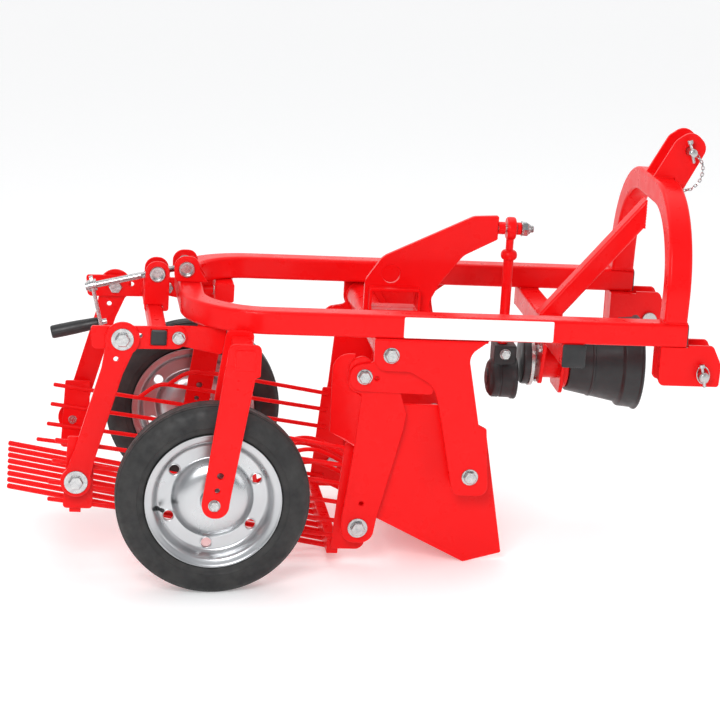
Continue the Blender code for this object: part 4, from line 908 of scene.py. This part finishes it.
def make_rocker():
    x, z = ROCKER
    plate = rounded([
        (0.336, 0.300, 0.004), (0.336, 0.386, 0.030), (0.372, 0.440, 0.045), (0.566, 0.535, 0.030),
        (0.620, 0.538, 0.004), (0.620, 0.486, 0.004), (0.548, 0.448, 0.040), (0.500, 0.385, 0.030),
        (0.478, 0.340, 0.020), (0.492, 0.300, 0.012), (0.430, 0.262, 0.030), (0.350, 0.262, 0.028),
    ], 9)
    mesh = bmesh.new()
    window = box(0.350, 0.329, 0.450, 0.369, 0.003)
    holes = [circle(ROCKER, 0.0303, 48), circle((0.392, 0.402), 0.020, 40), window]
    add_plate(mesh, plate, "Y", -0.006, 0.006, holes, 0.0012)
    add_plate(mesh, box(0.344, 0.323, 0.456, 0.375, 0.006), "Y", -0.034, 0.034,
              [box(0.3495, 0.3285, 0.4505, 0.3695, 0.003)])
    piece("rocker_plate_body", mesh, RED, "rocker", "rocker_plate")
    shaft = bmesh.new()
    end = LEVER_OUT - 0.008 - GAP
    add_turned(shaft, eased([(0, 0.009), (0, 0.030), (2 * end, 0.030), (2 * end, 0.009)]), (x, -end, z),
               (0, 1, 0), 56)
    piece("rocker_shaft_tube", shaft, RED, "rocker", "rocker_shaft")
    welds = bmesh.new()
    for y in (-0.0066, 0.0066):
        add_weld(welds, ring_path((x, y, z), 0.0306, (0, 1, 0)), 0.0028, y)
    lever = rounded([
        (LEVER_BOLT[0] - 0.031, 0.262, 0.026), (LEVER_BOLT[0] - 0.031, 0.209, 0.026), (0.455, 0.205, 0.006),
        (0.462, 0.225, 0.010), (0.400, 0.315, 0.025), (0.334, 0.315, 0.022), (0.330, 0.271, 0.010),
    ])
    heads = {
        "right": [(0.279, 0.210, 0.022), (0.279, 0.275, 0.030), (0.322, 0.285, 0.020)],
        "left": [(0.293, 0.212, 0.014), (0.293, 0.266, 0.020), (0.322, 0.271, 0.016)],
    }
    arms = {name: rounded([
        (0.301, 0.092, 0.0), (0.309, 0.200, 0.008), *head, (0.331, 0.248, 0.004), (0.391, 0.248, 0.0),
        (0.391, 0.203, 0.0), (0.406, 0.160, 0.004), (0.401, 0.123, 0.0), (0.356, -0.070, 0.030),
        (0.348, -0.124, 0.028), (0.284, -0.124, 0.028), (0.282, -0.075, 0.0),
    ]) for name, head in heads.items()}
    bolts = bmesh.new()
    for name, side in SIDES.items():
        plate_piece(f"rocker_lever_plate_{name}", side, "rocker", f"rocker_lever_{name}", LEVER_OUT, lever,
                    [circle(ROCKER, 0.009, 32), circle(LEVER_BOLT, 0.0085),
                     circle((0.338, 0.237), 0.005, 16)])
        mesh = bmesh.new()
        add_side_plate(mesh, side, arms[name], ARM_OUT, PLATE,
                       [circle(LEVER_BOLT, 0.0085), circle(FRONT_PIVOT, 0.0105, 32),
                        circle((0.322, -0.038), 0.005, 16)])
        if name == "right":
            add_wing(mesh, side)
        piece(f"swing_arm_plate_{name}", mesh, RED, "rocker", f"swing_arm_{name}")
        add_bolt(bolts, at(LEVER_BOLT, side * LEVER_OUT), (0, side, 0), 0.016, 0.0165)
        add_bolt(bolts, at(LEVER_BOLT, side * (ARM_OUT - 0.008)), (0, -side, 0), 0.016, 0.0165, None, 0.006)
        ring = ring_path((x, side * (end + 0.0002), z), 0.030, (0, 1, 0))
        add_weld(welds, ring, 0.0022, side)
        pin = bmesh.new()
        face = SUPPORT_OUT + GAP
        add_bolt(pin, (x, side * face, z), (0, side, 0), 0.017, 0.017)
        add_turned(pin, cylinder_profile(0.078, 0.0085), (x, side * (face + 0.002), z), (0, -side, 0), 32)
        piece(f"rocker_pin_bolt_{name}", pin, BOLT, "frame", f"rocker_pin_{name}")
    piece("rocker_welds", welds, RED, "rocker")
    piece("rocker_bolts", bolts, BOLT, "rocker")
    eye_x, eye_z = ROD_EYE
    mesh = bmesh.new()
    start = 0.6203
    add_turned(mesh, cylinder_profile(0.060, 0.008), (start, 0, eye_z), (1, 0, 0), 32)
    add_washer(mesh, (start + 0.050, 0, eye_z), (1, 0, 0), 0.0165, 0.0025)
    add_hex(mesh, (start + 0.0525, 0, eye_z), (1, 0, 0), 0.013, 0.028)
    collar = eased([(0, 0), (0, 0.012), (0.005, 0.0108), (0.005, 0)])
    add_turned(mesh, collar, (start + 0.065, 0, eye_z), (1, 0, 0), 32)
    add_thread(mesh, (start + 0.064, 0, eye_z), (1, 0, 0), 0.0137, 0.008)
    piece("rod_eye_bolt_body", mesh, BOLT, "rocker", "rod_eye_bolt")
    sleeves = bmesh.new()
    for near, far in ((start + GAP, eye_x - 0.013), (eye_x + 0.013, start + 0.0498)):
        ring = [(0.0, 0.0083), (0.0, 0.0128), (0.0008, 0.0136), (far - near - 0.0008, 0.0136),
                (far - near, 0.0128),
                (far - near, 0.0083)]
        add_turned(sleeves, ring, (near, 0, eye_z), (1, 0, 0), 36)
    piece("rod_eye_sleeves", sleeves, RED, "rocker")


# --- Sieve ---

GRATE_REAR = Vector((-0.416, 0.0, -0.048))
GRATE_FRONT = Vector((0.285, 0.0, -0.167))
GRATE_RADIUS = 0.0058
SIDE_ROD_RADIUS = 0.00475
ROD_PLACES = [-0.165 + 0.330 * step / 7 for step in range(8)]
SIDE_RODS = ((-0.320, 0.073, -0.009), (-0.325, 0.028, -0.050), (-0.332, -0.018, -0.091),
             (-0.354, -0.055, -0.124))
GUARD_RODS = (
    ((-0.131, 0.048), (-0.086, 0.083), (0.296, 0.032)),
    ((-0.066, 0.080), (-0.022, 0.112), (0.050, 0.108), (0.296, 0.070)),
)


def bent_path(points, radius=0.022):
    """A path of straight stretches with its corners bent round."""
    path = [points[0]]
    for before, here, after in zip(points, points[1:], points[2:]):
        reach = min(radius, (here - before).length / 2.2, (after - here).length / 2.2)
        start, end = here + (before - here).normalized() * reach, here + (after - here).normalized() * reach
        path += [start.lerp(here, t).lerp(here.lerp(end, t), t) for t in (0.0, 0.2, 0.4, 0.6, 0.8, 1.0)]
    return path + [points[-1]]


def make_sieve():
    mesh = bmesh.new()
    for y in ROD_PLACES:
        shift = Vector((0, y, 0))
        add_wire(mesh, [GRATE_REAR + shift, GRATE_FRONT + shift], GRATE_RADIUS, 14)
    reach = SIEVE_OUT - 0.0063
    for share, low, high in ((0.20, -0.01125, 0.0), (0.60, -0.01125, 0.0), (0.98, 0.003, 0.033)):
        middle = GRATE_REAR.lerp(GRATE_FRONT, share)
        outline = box(middle.x - 0.012, middle.z + low, middle.x + 0.012, middle.z + high, 0.0015, 2)
        add_plate(mesh, outline, "Y", -reach, reach)
    piece("sieve_grate_rods", mesh, RED, "sieve", "sieve_grate")
    fingers = bmesh.new()
    for y in (-0.1414, -0.0943, -0.0471, 0.0, 0.0471, 0.0943, 0.1414):
        crest = 0.020 - 2.2 * y * y
        foot = GRATE_REAR.lerp(GRATE_FRONT, 0.60)
        route = [(foot.x, y, foot.z + 0.002), (0.070, y, foot.z + 0.052), (0.140, y, crest - 0.036),
                 (0.200, y, crest - 0.006), (0.238, y, crest), (0.272, y, crest - 0.010),
                 (0.312, y, crest - 0.030)]
        add_wire(fingers, smooth_path(route, 5), SIDE_ROD_RADIUS, 12)
    for share in (0.42, 0.80):
        route = [(0.030 + 0.190 * share, y, -0.052 + 0.060 * share - 2.2 * y * y * share)
                 for y in (-0.152, -0.10, -0.05, 0.0, 0.05, 0.10, 0.152)]
        add_wire(fingers, smooth_path(route, 4), SIDE_ROD_RADIUS, 12, Vector((1, 0, 0)))
    piece("sieve_fingers", fingers, RED, "sieve")
    welds = bmesh.new()
    for share, low in ((0.20, 0.0008), (0.60, 0.0008), (0.98, 0.004)):
        middle = GRATE_REAR.lerp(GRATE_FRONT, share)
        for index, y in enumerate(ROD_PLACES):
            for shift in (-GRATE_RADIUS, GRATE_RADIUS):
                a = middle + Vector((-0.009, y + shift, low + 0.0015))
                add_weld(welds, [a, a + Vector((0.018, 0, -0.0031))], 0.0017, index + share)
    piece("sieve_welds", welds, RED, "sieve")
    for name, side in SIDES.items():
        rear_plate = rounded([
            (-0.302, -0.0725, 0.008), (-0.240, -0.0725, 0.008), (-0.240, 0.083, 0.004),
            (-0.296, 0.083, 0.004),
        ])
        front_plate = rounded([
            (0.285, 0.084, 0.004), (0.266, -0.149, 0.004), (0.336, -0.149, 0.020), (0.344, -0.070, 0.020),
            (0.312, 0.084, 0.004),
        ])
        mesh = bmesh.new()
        add_side_plate(mesh, side, rear_plate, SIEVE_OUT, 0.006)
        add_side_plate(mesh, side, front_plate, SIEVE_OUT, 0.006, [circle(FRONT_PIVOT, 0.0105, 32)])
        y = side * (SIEVE_OUT - 0.007)
        for rear_x, rear_z, front_z in SIDE_RODS:
            if side < 0:
                rear_x = max(rear_x, -0.332)
            add_wire(mesh, [Vector((rear_x, y, rear_z)), Vector((0.296, y, front_z))], SIDE_ROD_RADIUS, 14)
        for route in GUARD_RODS:
            add_wire(mesh, bent_path([Vector((x, y, z)) for x, z in route]), SIDE_ROD_RADIUS, 14)
        piece(f"sieve_side_frame_{name}", mesh, RED, "sieve", f"sieve_side_{name}")
        stud = bmesh.new()
        face = LINK_OUT + 0.001
        add_washer(stud, at(REAR_BOLT, side * face), (0, side, 0), 0.0245, 0.0026)
        add_hex(stud, at(REAR_BOLT, side * (face + 0.0024)), (0, side, 0), 0.0085, 0.027)
        add_turned(stud, cylinder_profile(0.034, 0.010), at(REAR_BOLT, side * (face + 0.001)), (0, -side, 0),
                   32)
        piece(f"sieve_rear_bolt_{name}", stud, BOLT, "sieve")
        pin = bmesh.new()
        start = LEVER_OUT - 0.008 + GAP
        add_pivot_bolt(pin, FRONT_PIVOT, side, start, (0.021, 0.003), (0.0105, 0.027),
                       start - SIEVE_OUT + 0.0085,
                       0.010, (SIEVE_OUT - 0.0065, 0.009, 0.027))
        piece(f"sieve_front_bolt_{name}", pin, BOLT, "front_pins", f"sieve_front_pin_{name}")


# --- Rear arms, links and crank ---


def arc(centre, radius, towards, count):
    """Most of a circle, anticlockwise, centred on a direction."""
    sweep = math.radians(250)
    first = math.atan2(towards.y, towards.x) - sweep / 2
    turns = [first + sweep * step / count for step in range(count + 1)]
    return [centre + radius * Vector((math.cos(turn), math.sin(turn))) for turn in turns]


def make_rear():
    bar_x, bar_z, half = -0.117, 0.304, 0.017
    arm = rounded([(-0.258, 0.324, 0.006), (-0.253, 0.276, 0.010), (-0.066, 0.280, 0.024),
                   (-0.050, 0.328, 0.022)])
    direction = (Vector(REAR_BOLT) - Vector(LINK_TOP)).normalized()
    across = Vector((-direction.y, direction.x)) * 0.023
    top, foot = Vector(LINK_TOP), Vector(REAR_BOLT)
    waist_top, waist_foot = top.lerp(foot, 0.22), top.lerp(foot, 0.80)
    link = [*arc(top, 0.036, -direction, 30), waist_top - across, waist_foot - across,
            *arc(foot, 0.032, direction, 30), waist_foot + across, waist_top + across]
    bracket = rounded([
        (-0.092, 0.288, 0.012), (0.016, 0.268, 0.006), (0.024, RAIL_BOTTOM - GAP, 0.0),
        (-0.092, RAIL_BOTTOM - GAP, 0.010),
    ])
    plugs = bmesh.new()
    welds = bmesh.new()
    for name, side in SIDES.items():
        slot = box(bar_x - half - GAP, bar_z - half - GAP, bar_x + half + GAP, bar_z + half + GAP)
        plate_piece(f"rear_arm_plate_{name}", side, "rear_arm", f"rear_arm_{name}", REAR_ARM_OUT, arm,
                    [slot, circle(LINK_TOP, 0.0105, 32), circle(ARM_PIVOT, 0.0085, 32),
                     circle((-0.156, 0.306), 0.0055, 20)])
        plate_piece(f"rear_link_plate_{name}", side, "rear_links", f"rear_link_{name}", LINK_OUT, link,
                    [circle(LINK_TOP, 0.0105, 32), circle(REAR_BOLT, 0.012, 32),
                     circle(Vector(LINK_TOP) + direction * 0.044, 0.0055, 20)])
        plate_piece(f"rear_bracket_plate_{name}", side, "frame", f"rear_bracket_{name}",
                    REAR_ARM_OUT - 0.011, bracket,
                    [circle(ARM_PIVOT, 0.0083, 32)])
        pin = bmesh.new()
        face = LINK_OUT + GAP
        add_pivot_bolt(pin, LINK_TOP, side, face, (0.0232, 0.003), (0.0098, 0.027), 0.0205, 0.010,
                       (REAR_ARM_OUT - 0.0085, 0.008, 0.026))
        piece(f"rear_link_bolt_{name}", pin, BOLT, "rear_pins", f"rear_pin_{name}")
        pin = bmesh.new()
        face = REAR_ARM_OUT + GAP
        add_bolt(pin, at(ARM_PIVOT, side * face), (0, side, 0), 0.014, 0.0138)
        add_turned(pin, cylinder_profile(0.0195, 0.008), at(ARM_PIVOT, side * face), (0, -side, 0), 32)
        add_hex(pin, at(ARM_PIVOT, side * (face - 0.0196)), (0, -side, 0), 0.009, 0.023)
        piece(f"rear_arm_bolt_{name}", pin, BOLT, "frame", f"rear_arm_pin_{name}")
        add_plug(plugs, (bar_x, side * (REAR_ARM_OUT + 0.002), bar_z), (0, side, 0), 2 * half)
        y = side * (REAR_ARM_OUT - 0.0085)
        corners = [(bar_x + a * half, y, bar_z + b * half) for a, b in AROUND]
        add_weld(welds, corners, 0.0022, side)
    piece("rear_tube_plugs", plugs, BLACK, "rear_arm")
    boss, nut = bmesh.new(), bmesh.new()
    add_turned(boss, cylinder_profile(0.022, 0.011), (0.004, REAR_ARM_OUT - 0.015, 0.302), (1, 0, 0), 28)
    add_hex(nut, (0.0262, REAR_ARM_OUT - 0.015, 0.302), (1, 0, 0), 0.011, 0.019)
    piece("rear_stop_boss", boss, RED, "frame")
    piece("rear_stop_nut", nut, BOLT, "frame")
    mesh = bmesh.new()
    reach = REAR_ARM_OUT + 0.002
    ends = [Vector((bar_x, -reach, bar_z)), Vector((bar_x, reach, bar_z))]
    add_square_tube(mesh, ends, Vector((0, 0, 1)), 2 * half, 2 * half, 0.003, 0.005)
    piece("rear_cross_tube_body", mesh, RED, "rear_arm", "rear_cross_tube")

    post_x, post_z = POST_TRUNNION
    foot = bar_z + half + GAP
    mesh = bmesh.new()
    add_plate(mesh, box(-0.012, foot, 0.012, post_z - 0.044), "X", post_x - 0.012, post_x + 0.012)
    seat = half + GAP
    left, right, over, low = bar_x - seat, bar_x + seat, bar_z + seat, post_z - 0.080
    lug = rounded([
        (post_x - 0.026, low, 0.006), (left, low, 0.0), (left, over, 0.0), (right, over, 0.0),
        (right, low, 0.0),
        (post_x + 0.026, low, 0.006), (post_x + 0.026, post_z + 0.028, 0.024),
        (post_x - 0.026, post_z + 0.028, 0.024),
    ])
    hole = circle(POST_TRUNNION, 0.0168, 40)
    for side in (-1, 1):
        add_side_plate(mesh, side, lug, 0.026, 0.006, [hole])
    add_plate(mesh, box(post_x - 0.025, post_z - 0.061, post_x + 0.025, post_z - 0.042, 0.002), "Y", -0.0205,
              0.0205)
    piece("screw_post_lugs", mesh, RED, "rear_arm", "screw_post")
    for x, seed in ((post_x - 0.013, 3), (post_x + 0.013, 4)):
        add_weld(welds, [(x, y, foot + 0.001) for y in (-0.012, 0.012)], 0.0024, seed)
    piece("rear_arm_welds", welds, RED, "rear_arm")

    frame_x, frame_z = FRAME_TRUNNION
    mesh = bmesh.new()
    add_plate(mesh, box(frame_x - 0.012, RAIL_TOP + GAP, frame_x + 0.032, RAIL_TOP + 0.0065), "Y", -0.0325,
              0.0325)
    ear = rounded([
        (frame_x - 0.020, RAIL_TOP + GAP, 0.0), (frame_x + 0.046, RAIL_TOP + GAP, 0.0),
        (frame_x + 0.026, frame_z + 0.004, 0.030), (frame_x + 0.028, frame_z + 0.029, 0.020),
        (frame_x - 0.028, frame_z + 0.029, 0.024), (frame_x - 0.026, frame_z - 0.014, 0.020),
    ])
    for side in (-1, 1):
        add_side_plate(mesh, side, ear, 0.038, 0.006, [circle(FRAME_TRUNNION, 0.0168, 40)])
    piece("screw_bracket_ears", mesh, RED, "frame", "screw_bracket")


def add_trunnion(mesh, centre, reach):
    """A round pin with hollow ends."""
    profile = [(0.012, 0.0), (0.012, 0.0126), (0.0, 0.013), (0.0, 0.0154), (0.0006, 0.016)]
    profile += [(2 * reach - along, radius) for along, radius in reversed(profile)]
    add_turned(mesh, profile, centre - Vector((0, reach, 0)), (0, 1, 0), 48)


def make_crank():
    here, there = at(POST_TRUNNION, 0.0), at(FRAME_TRUNNION, 0.0)
    along = (there - here).normalized()
    back, front = here - along * 0.145, there + along * 0.024
    mesh = bmesh.new()
    add_trunnion(mesh, here, 0.030)
    add_turned(mesh, cylinder_profile(0.110, 0.007), back, along, 28)
    add_thread(mesh, back + along * 0.108, along, (front - back).length - 0.108, 0.007, 0.0028)
    down = along.cross(Vector((0, 1, 0))).normalized()
    if down.z > 0:
        down = -down
    start = back + along * 0.004
    rings = []
    for reach, size in ((-0.020, 0.5), (-0.016, 0.8), (0.0, 1.0), (0.091, 0.9), (0.095, 0.6)):
        centre = start + down * reach
        section = box(-0.004, -0.012 * size, 0.004, 0.012 * size, 0.0015)
        rings.append([centre + along * a + Vector((0, b, 0)) for a, b in section])
    add_rings(mesh, rings)
    add_turned(mesh, cylinder_profile(0.019, 0.0125), back - along * 0.006, along, 32)
    add_turned(mesh, cylinder_profile(0.006, 0.0085), back - along * 0.0055, -along, 24)
    add_turned(mesh, cylinder_profile(0.010, 0.006), start + down * 0.083 + along * 0.004, along, 20)
    piece("crank_screw_body", mesh, BOLT, "crank_screw", "crank_screw")
    grip = bmesh.new()
    base = start + down * 0.083 - along * 0.0045
    add_turned(grip, [(0, 0), (0, 0.010), (0.0015, 0.0118), (0.006, 0.0122), (0.024, 0.0132), (0.050, 0.0142),
                      (0.080, 0.0144), (0.098, 0.0142), (0.1015, 0.0134), (0.103, 0.0115), (0.103, 0.0)],
               base, -along, 40)
    piece("crank_grip_cover", grip, BLACK, "crank_screw")
    nut = bmesh.new()
    add_trunnion(nut, there, 0.042)
    piece("screw_nut_barrel", nut, BOLT, "screw_nut", "screw_nut")


# --- Wheels and forks ---


def make_forks():
    plate, hub = 0.008, 0.054
    outer = WHEEL_OFFSET + hub + 0.003 + plate
    inner = WHEEL_OFFSET - hub - 0.003 - plate
    outer_arm = rounded([
        (0.016, 0.337, 0.012), (-0.026, 0.000, 0.027), (-0.020, -0.028, 0.026), (0.028, -0.028, 0.026),
        (0.032, 0.010, 0.020), (0.071, 0.268, 0.004), (0.081, 0.272, 0.004), (0.081, 0.337, 0.012),
    ])
    inner_arm = rounded([
        (0.018, 0.337, 0.012), (-0.026, 0.000, 0.027), (-0.020, -0.028, 0.026), (0.028, -0.028, 0.026),
        (0.032, 0.010, 0.020), (0.071, 0.268, 0.004), (0.076, 0.337, 0.012),
    ])
    axle = (0.0, 0.0)
    holes = [circle(axle, 0.0083, 24), circle((0.005, 0.031), 0.0055, 20), circle((0.010, 0.062), 0.007, 24)]
    beam = box(0.028, 0.283, 0.070, RAIL_BOTTOM - GAP, 0.005)
    for name, side in SIDES.items():
        mesh = bmesh.new()
        add_side_plate(mesh, side, outer_arm, outer, plate, holes, 0.0014)
        add_side_plate(mesh, side, inner_arm, inner + plate, plate, holes, 0.0014)
        add_side_plate(mesh, side, beam, outer + 0.003, 0.248)
        for x, z in ((0.036, 0.262), (0.062, 0.262), (0.036, 0.243), (0.060, 0.243)):
            add_turned(mesh, [(0, 0), (0, 0.0028), (0.001, 0.0022), (0.0014, 0.0)],
                       (x, side * (outer - 0.0002), z),
                       (0, side, 0), 14)
        piece(f"wheel_fork_frame_{name}", mesh, RED, "frame", f"wheel_fork_{name}")
        bolt = bmesh.new()
        face = outer + GAP
        add_bolt(bolt, at(axle, side * face), (0, side, 0), 0.013, 0.0125)
        length = outer - inner + 0.012
        add_turned(bolt, cylinder_profile(length, 0.008), at(axle, side * (face + 0.001)), (0, -side, 0), 28)
        add_hex(bolt, at(axle, side * (inner - GAP)), (0, -side, 0), 0.010, 0.022)
        piece(f"wheel_axle_bolt_{name}", bolt, BOLT, "frame", f"wheel_axle_{name}")


def both_sides(half):
    """A profile of (across, radius) with its mirror image."""
    return half + [(-across, radius) for across, radius in reversed(half)]


def tyre_profile():
    """The tyre's section, with shallow grooves round its tread and a moulded line on its wall."""
    half, radius = 0.040, WHEEL_RADIUS
    tread = []
    for across, depth in ((0.30, 0.0), (0.335, 0.0), (0.345, 0.0022), (0.40, 0.0022), (0.41, 0.0),
                          (0.56, 0.0016),
                          (0.570, 0.004), (0.620, 0.0048), (0.635, 0.003), (0.76, 0.0074), (0.86, 0.012)):
        tread.append((half * across, radius - depth))
    wall = [(half * 0.93, radius - 0.0195), (half * 0.975, radius - 0.027), (half * 0.995, radius - 0.0345),
            (half * 0.985, radius - 0.040), (half * 1.0, radius - 0.041), (half * 0.995, radius - 0.043),
            (half * 0.955, radius - 0.044), (half * 0.92, RIM_RADIUS + 0.011),
            (half * 0.90, RIM_RADIUS + 0.006),
            (half * 0.84, RIM_RADIUS + 0.0025), (half * 0.74, RIM_RADIUS + 0.0006)]
    return both_sides(tread + wall)


def make_wheels():
    for name, side in SIDES.items():
        body = f"wheel_{name}"
        centre = (0.0, side * WHEEL_OFFSET, 0.0)
        mesh = bmesh.new()
        add_turned(mesh, tyre_profile(), centre, (0, 1, 0), 128)
        piece(f"tyre_cover_{name}", mesh, RUBBER, body, f"tyre_{name}", sharp=45)
        mesh = bmesh.new()
        half = [(0.054, 0.0085), (0.054, 0.0245), (0.053, 0.026), (0.0315, 0.0262), (0.030, 0.0275),
                (0.0295, 0.033), (0.029, 0.044), (0.0275, 0.0545), (0.0245, 0.064), (0.0195, 0.0725),
                (0.013, 0.079), (0.0075, 0.0822), (0.0045, 0.0842), (0.0036, 0.0865), (0.0036, 0.1095),
                (0.0042, 0.1125), (0.0068, 0.1158), (0.0115, 0.1185), (0.018, 0.1205), (0.0255, 0.1222),
                (0.030, 0.1242), (0.0325, 0.1278), (0.0338, 0.1335), (0.035, 0.1378), (0.0364, 0.140),
                (0.038, 0.1412), (0.039, 0.1404), (0.0387, 0.1388)]
        add_turned(mesh, both_sides(half), centre, (0, 1, 0), 128)
        rim = piece(f"rim_disc_{name}", mesh, RIM, body, f"rim_{name}", sharp=55)
        spots = circle((0.0, 0.0), RIM_HOLES_AT, 6, math.radians(25))
        cutters = bmesh.new()
        for spot in spots:
            add_plate(cutters, circle(spot, 0.011, 32), "Y", centre[1] - 0.060, centre[1] + 0.060, (), 0.0)
        bmesh.ops.transform(cutters, matrix=MACHINE, verts=cutters.verts)
        bmesh.ops.recalc_face_normals(cutters, faces=cutters.faces)
        data = bpy.data.meshes.new(f"rim_hole_cutter_{name}")
        cutters.to_mesh(data)
        cutters.free()
        cutter = bpy.data.objects.new(f"rim_hole_cutter_{name}", data)
        bpy.context.scene.collection.objects.link(cutter)
        cut = rim.modifiers.new("holes", "BOOLEAN")
        cut.operation = "DIFFERENCE"
        cut.solver = "MANIFOLD"
        cut.object = cutter
        rim.modifiers.move(1, 0)
        apply_modifiers(rim)
        bpy.data.objects.remove(cutter)
        details = bmesh.new()
        for spot in spots:
            for face in (-1, 1):
                lip = ring_path(at(spot, centre[1] + face * 0.004), 0.0118, (0, 1, 0), 1.0, 32)
                add_wire(details, lip, 0.0012, 8)
        piece(f"rim_hole_lips_{name}", details, RIM, body)
        valve = bmesh.new()
        spot = (centre[0] - 0.113, centre[1] + side * 0.006, -0.026)
        add_turned(valve, [(0, 0), (0, 0.005), (0.006, 0.0046), (0.010, 0.0034), (0.022, 0.0034),
                           (0.022, 0.0042),
                           (0.030, 0.0042), (0.031, 0.0034), (0.031, 0)], spot, (0.35, side * 0.9, 0.12), 16)
        piece(f"tyre_valve_{name}", valve, BLACK, body)


def apply_modifiers(obj):
    """Bakes an object's modifiers into its mesh."""
    graph = bpy.context.evaluated_depsgraph_get()
    done = bpy.data.meshes.new_from_object(obj.evaluated_get(graph), depsgraph=graph)
    obj.modifiers.clear()
    obj.data = done


def make_sticker():
    mesh = bmesh.new()
    outline = box(0.386, RAIL_BOTTOM + 0.003, 0.700, RAIL_TOP - 0.003, 0.003)
    y = -RAIL_OUTSIDE - 0.0001
    add_plate(mesh, outline, "Y", y - 0.0004, y, (), 0.0)
    piece("rail_sticker_blank", mesh, STICKER, "frame")


# --- Stage ---


def make_stage():
    made = finish("pale_floor", (0.86, 0.86, 0.86), 0.55, Emission_Color=(1.0, 1.0, 1.0, 1.0),
                  Emission_Strength=0.26)
    floor_mesh = bmesh.new()
    bmesh.ops.create_grid(floor_mesh, x_segments=1, y_segments=1, size=12.0)
    data = bpy.data.meshes.new("floor")
    floor_mesh.to_mesh(data)
    floor_mesh.free()
    data.materials.append(made)
    floor = bpy.data.objects.new("floor", data)
    bpy.context.scene.collection.objects.link(floor)

    world = bpy.data.worlds.new("studio")
    bpy.context.scene.world = world
    world.use_nodes = True
    nodes, links = world.node_tree.nodes, world.node_tree.links
    place = nodes.new("ShaderNodeTexCoord").outputs["Generated"]
    split = nodes.new("ShaderNodeSeparateXYZ")
    links.new(place, split.inputs["Vector"])
    shade = nodes.new("ShaderNodeValToRGB")  # darker on the near side, so that the bolts and edges read
    stops = ((0.30, (0.34, 0.35, 0.37, 1.0)), (0.56, (1.0, 1.0, 1.0, 1.0)))
    for element, (position, colour) in zip(shade.color_ramp.elements, stops):
        element.position, element.color = position, colour
    shift = nodes.new("ShaderNodeMath")
    shift.operation = "MULTIPLY_ADD"
    shift.inputs[1].default_value = 0.5
    shift.inputs[2].default_value = 0.5
    links.new(split.outputs["Y"], shift.inputs[0])
    links.new(shift.outputs["Value"], shade.inputs["Fac"])
    links.new(shade.outputs["Color"], nodes["Background"].inputs["Color"])
    nodes["Background"].inputs["Strength"].default_value = 1.0
    for name, place, size, power in (
        ("key_light", (-1.0, -3.2, 2.4), 1.5, 80.0),
        ("fill_light", (3.0, -2.4, 1.6), 2.0, 16.0),
        ("top_light", (0.2, 0.8, 3.6), 2.4, 30.0),
    ):
        light = bpy.data.lights.new(name, "AREA")
        light.energy = power
        light.size = size
        lamp = bpy.data.objects.new(name, light)
        bpy.context.scene.collection.objects.link(lamp)
        lamp.location = place
        lamp.rotation_euler = (Vector((0, 0, 0.4)) - Vector(place)).to_track_quat("-Z", "Y").to_euler()

    camera_data = bpy.data.cameras.new("camera")
    camera_data.lens = 136.47
    camera_data.sensor_width = 36.0
    camera = bpy.data.objects.new("camera", camera_data)
    bpy.context.scene.collection.objects.link(camera)
    ground = MACHINE.translation
    camera.location = (ground.x - 0.3162, -5.7322, 1.8422)
    camera.rotation_euler = (math.radians(90 - 14.16), 0.0, math.radians(-6.61))
    bpy.context.scene.camera = camera
    bpy.context.scene.view_settings.view_transform = "Standard"


make_stage()
make_main_frame()
make_arch()
make_brace()
make_top_link()
make_lower_hitch()
make_pto()
make_connecting_rod()
make_share()
make_rocker()
make_sieve()
make_rear()
make_crank()
make_forks()
make_wheels()
make_sticker()
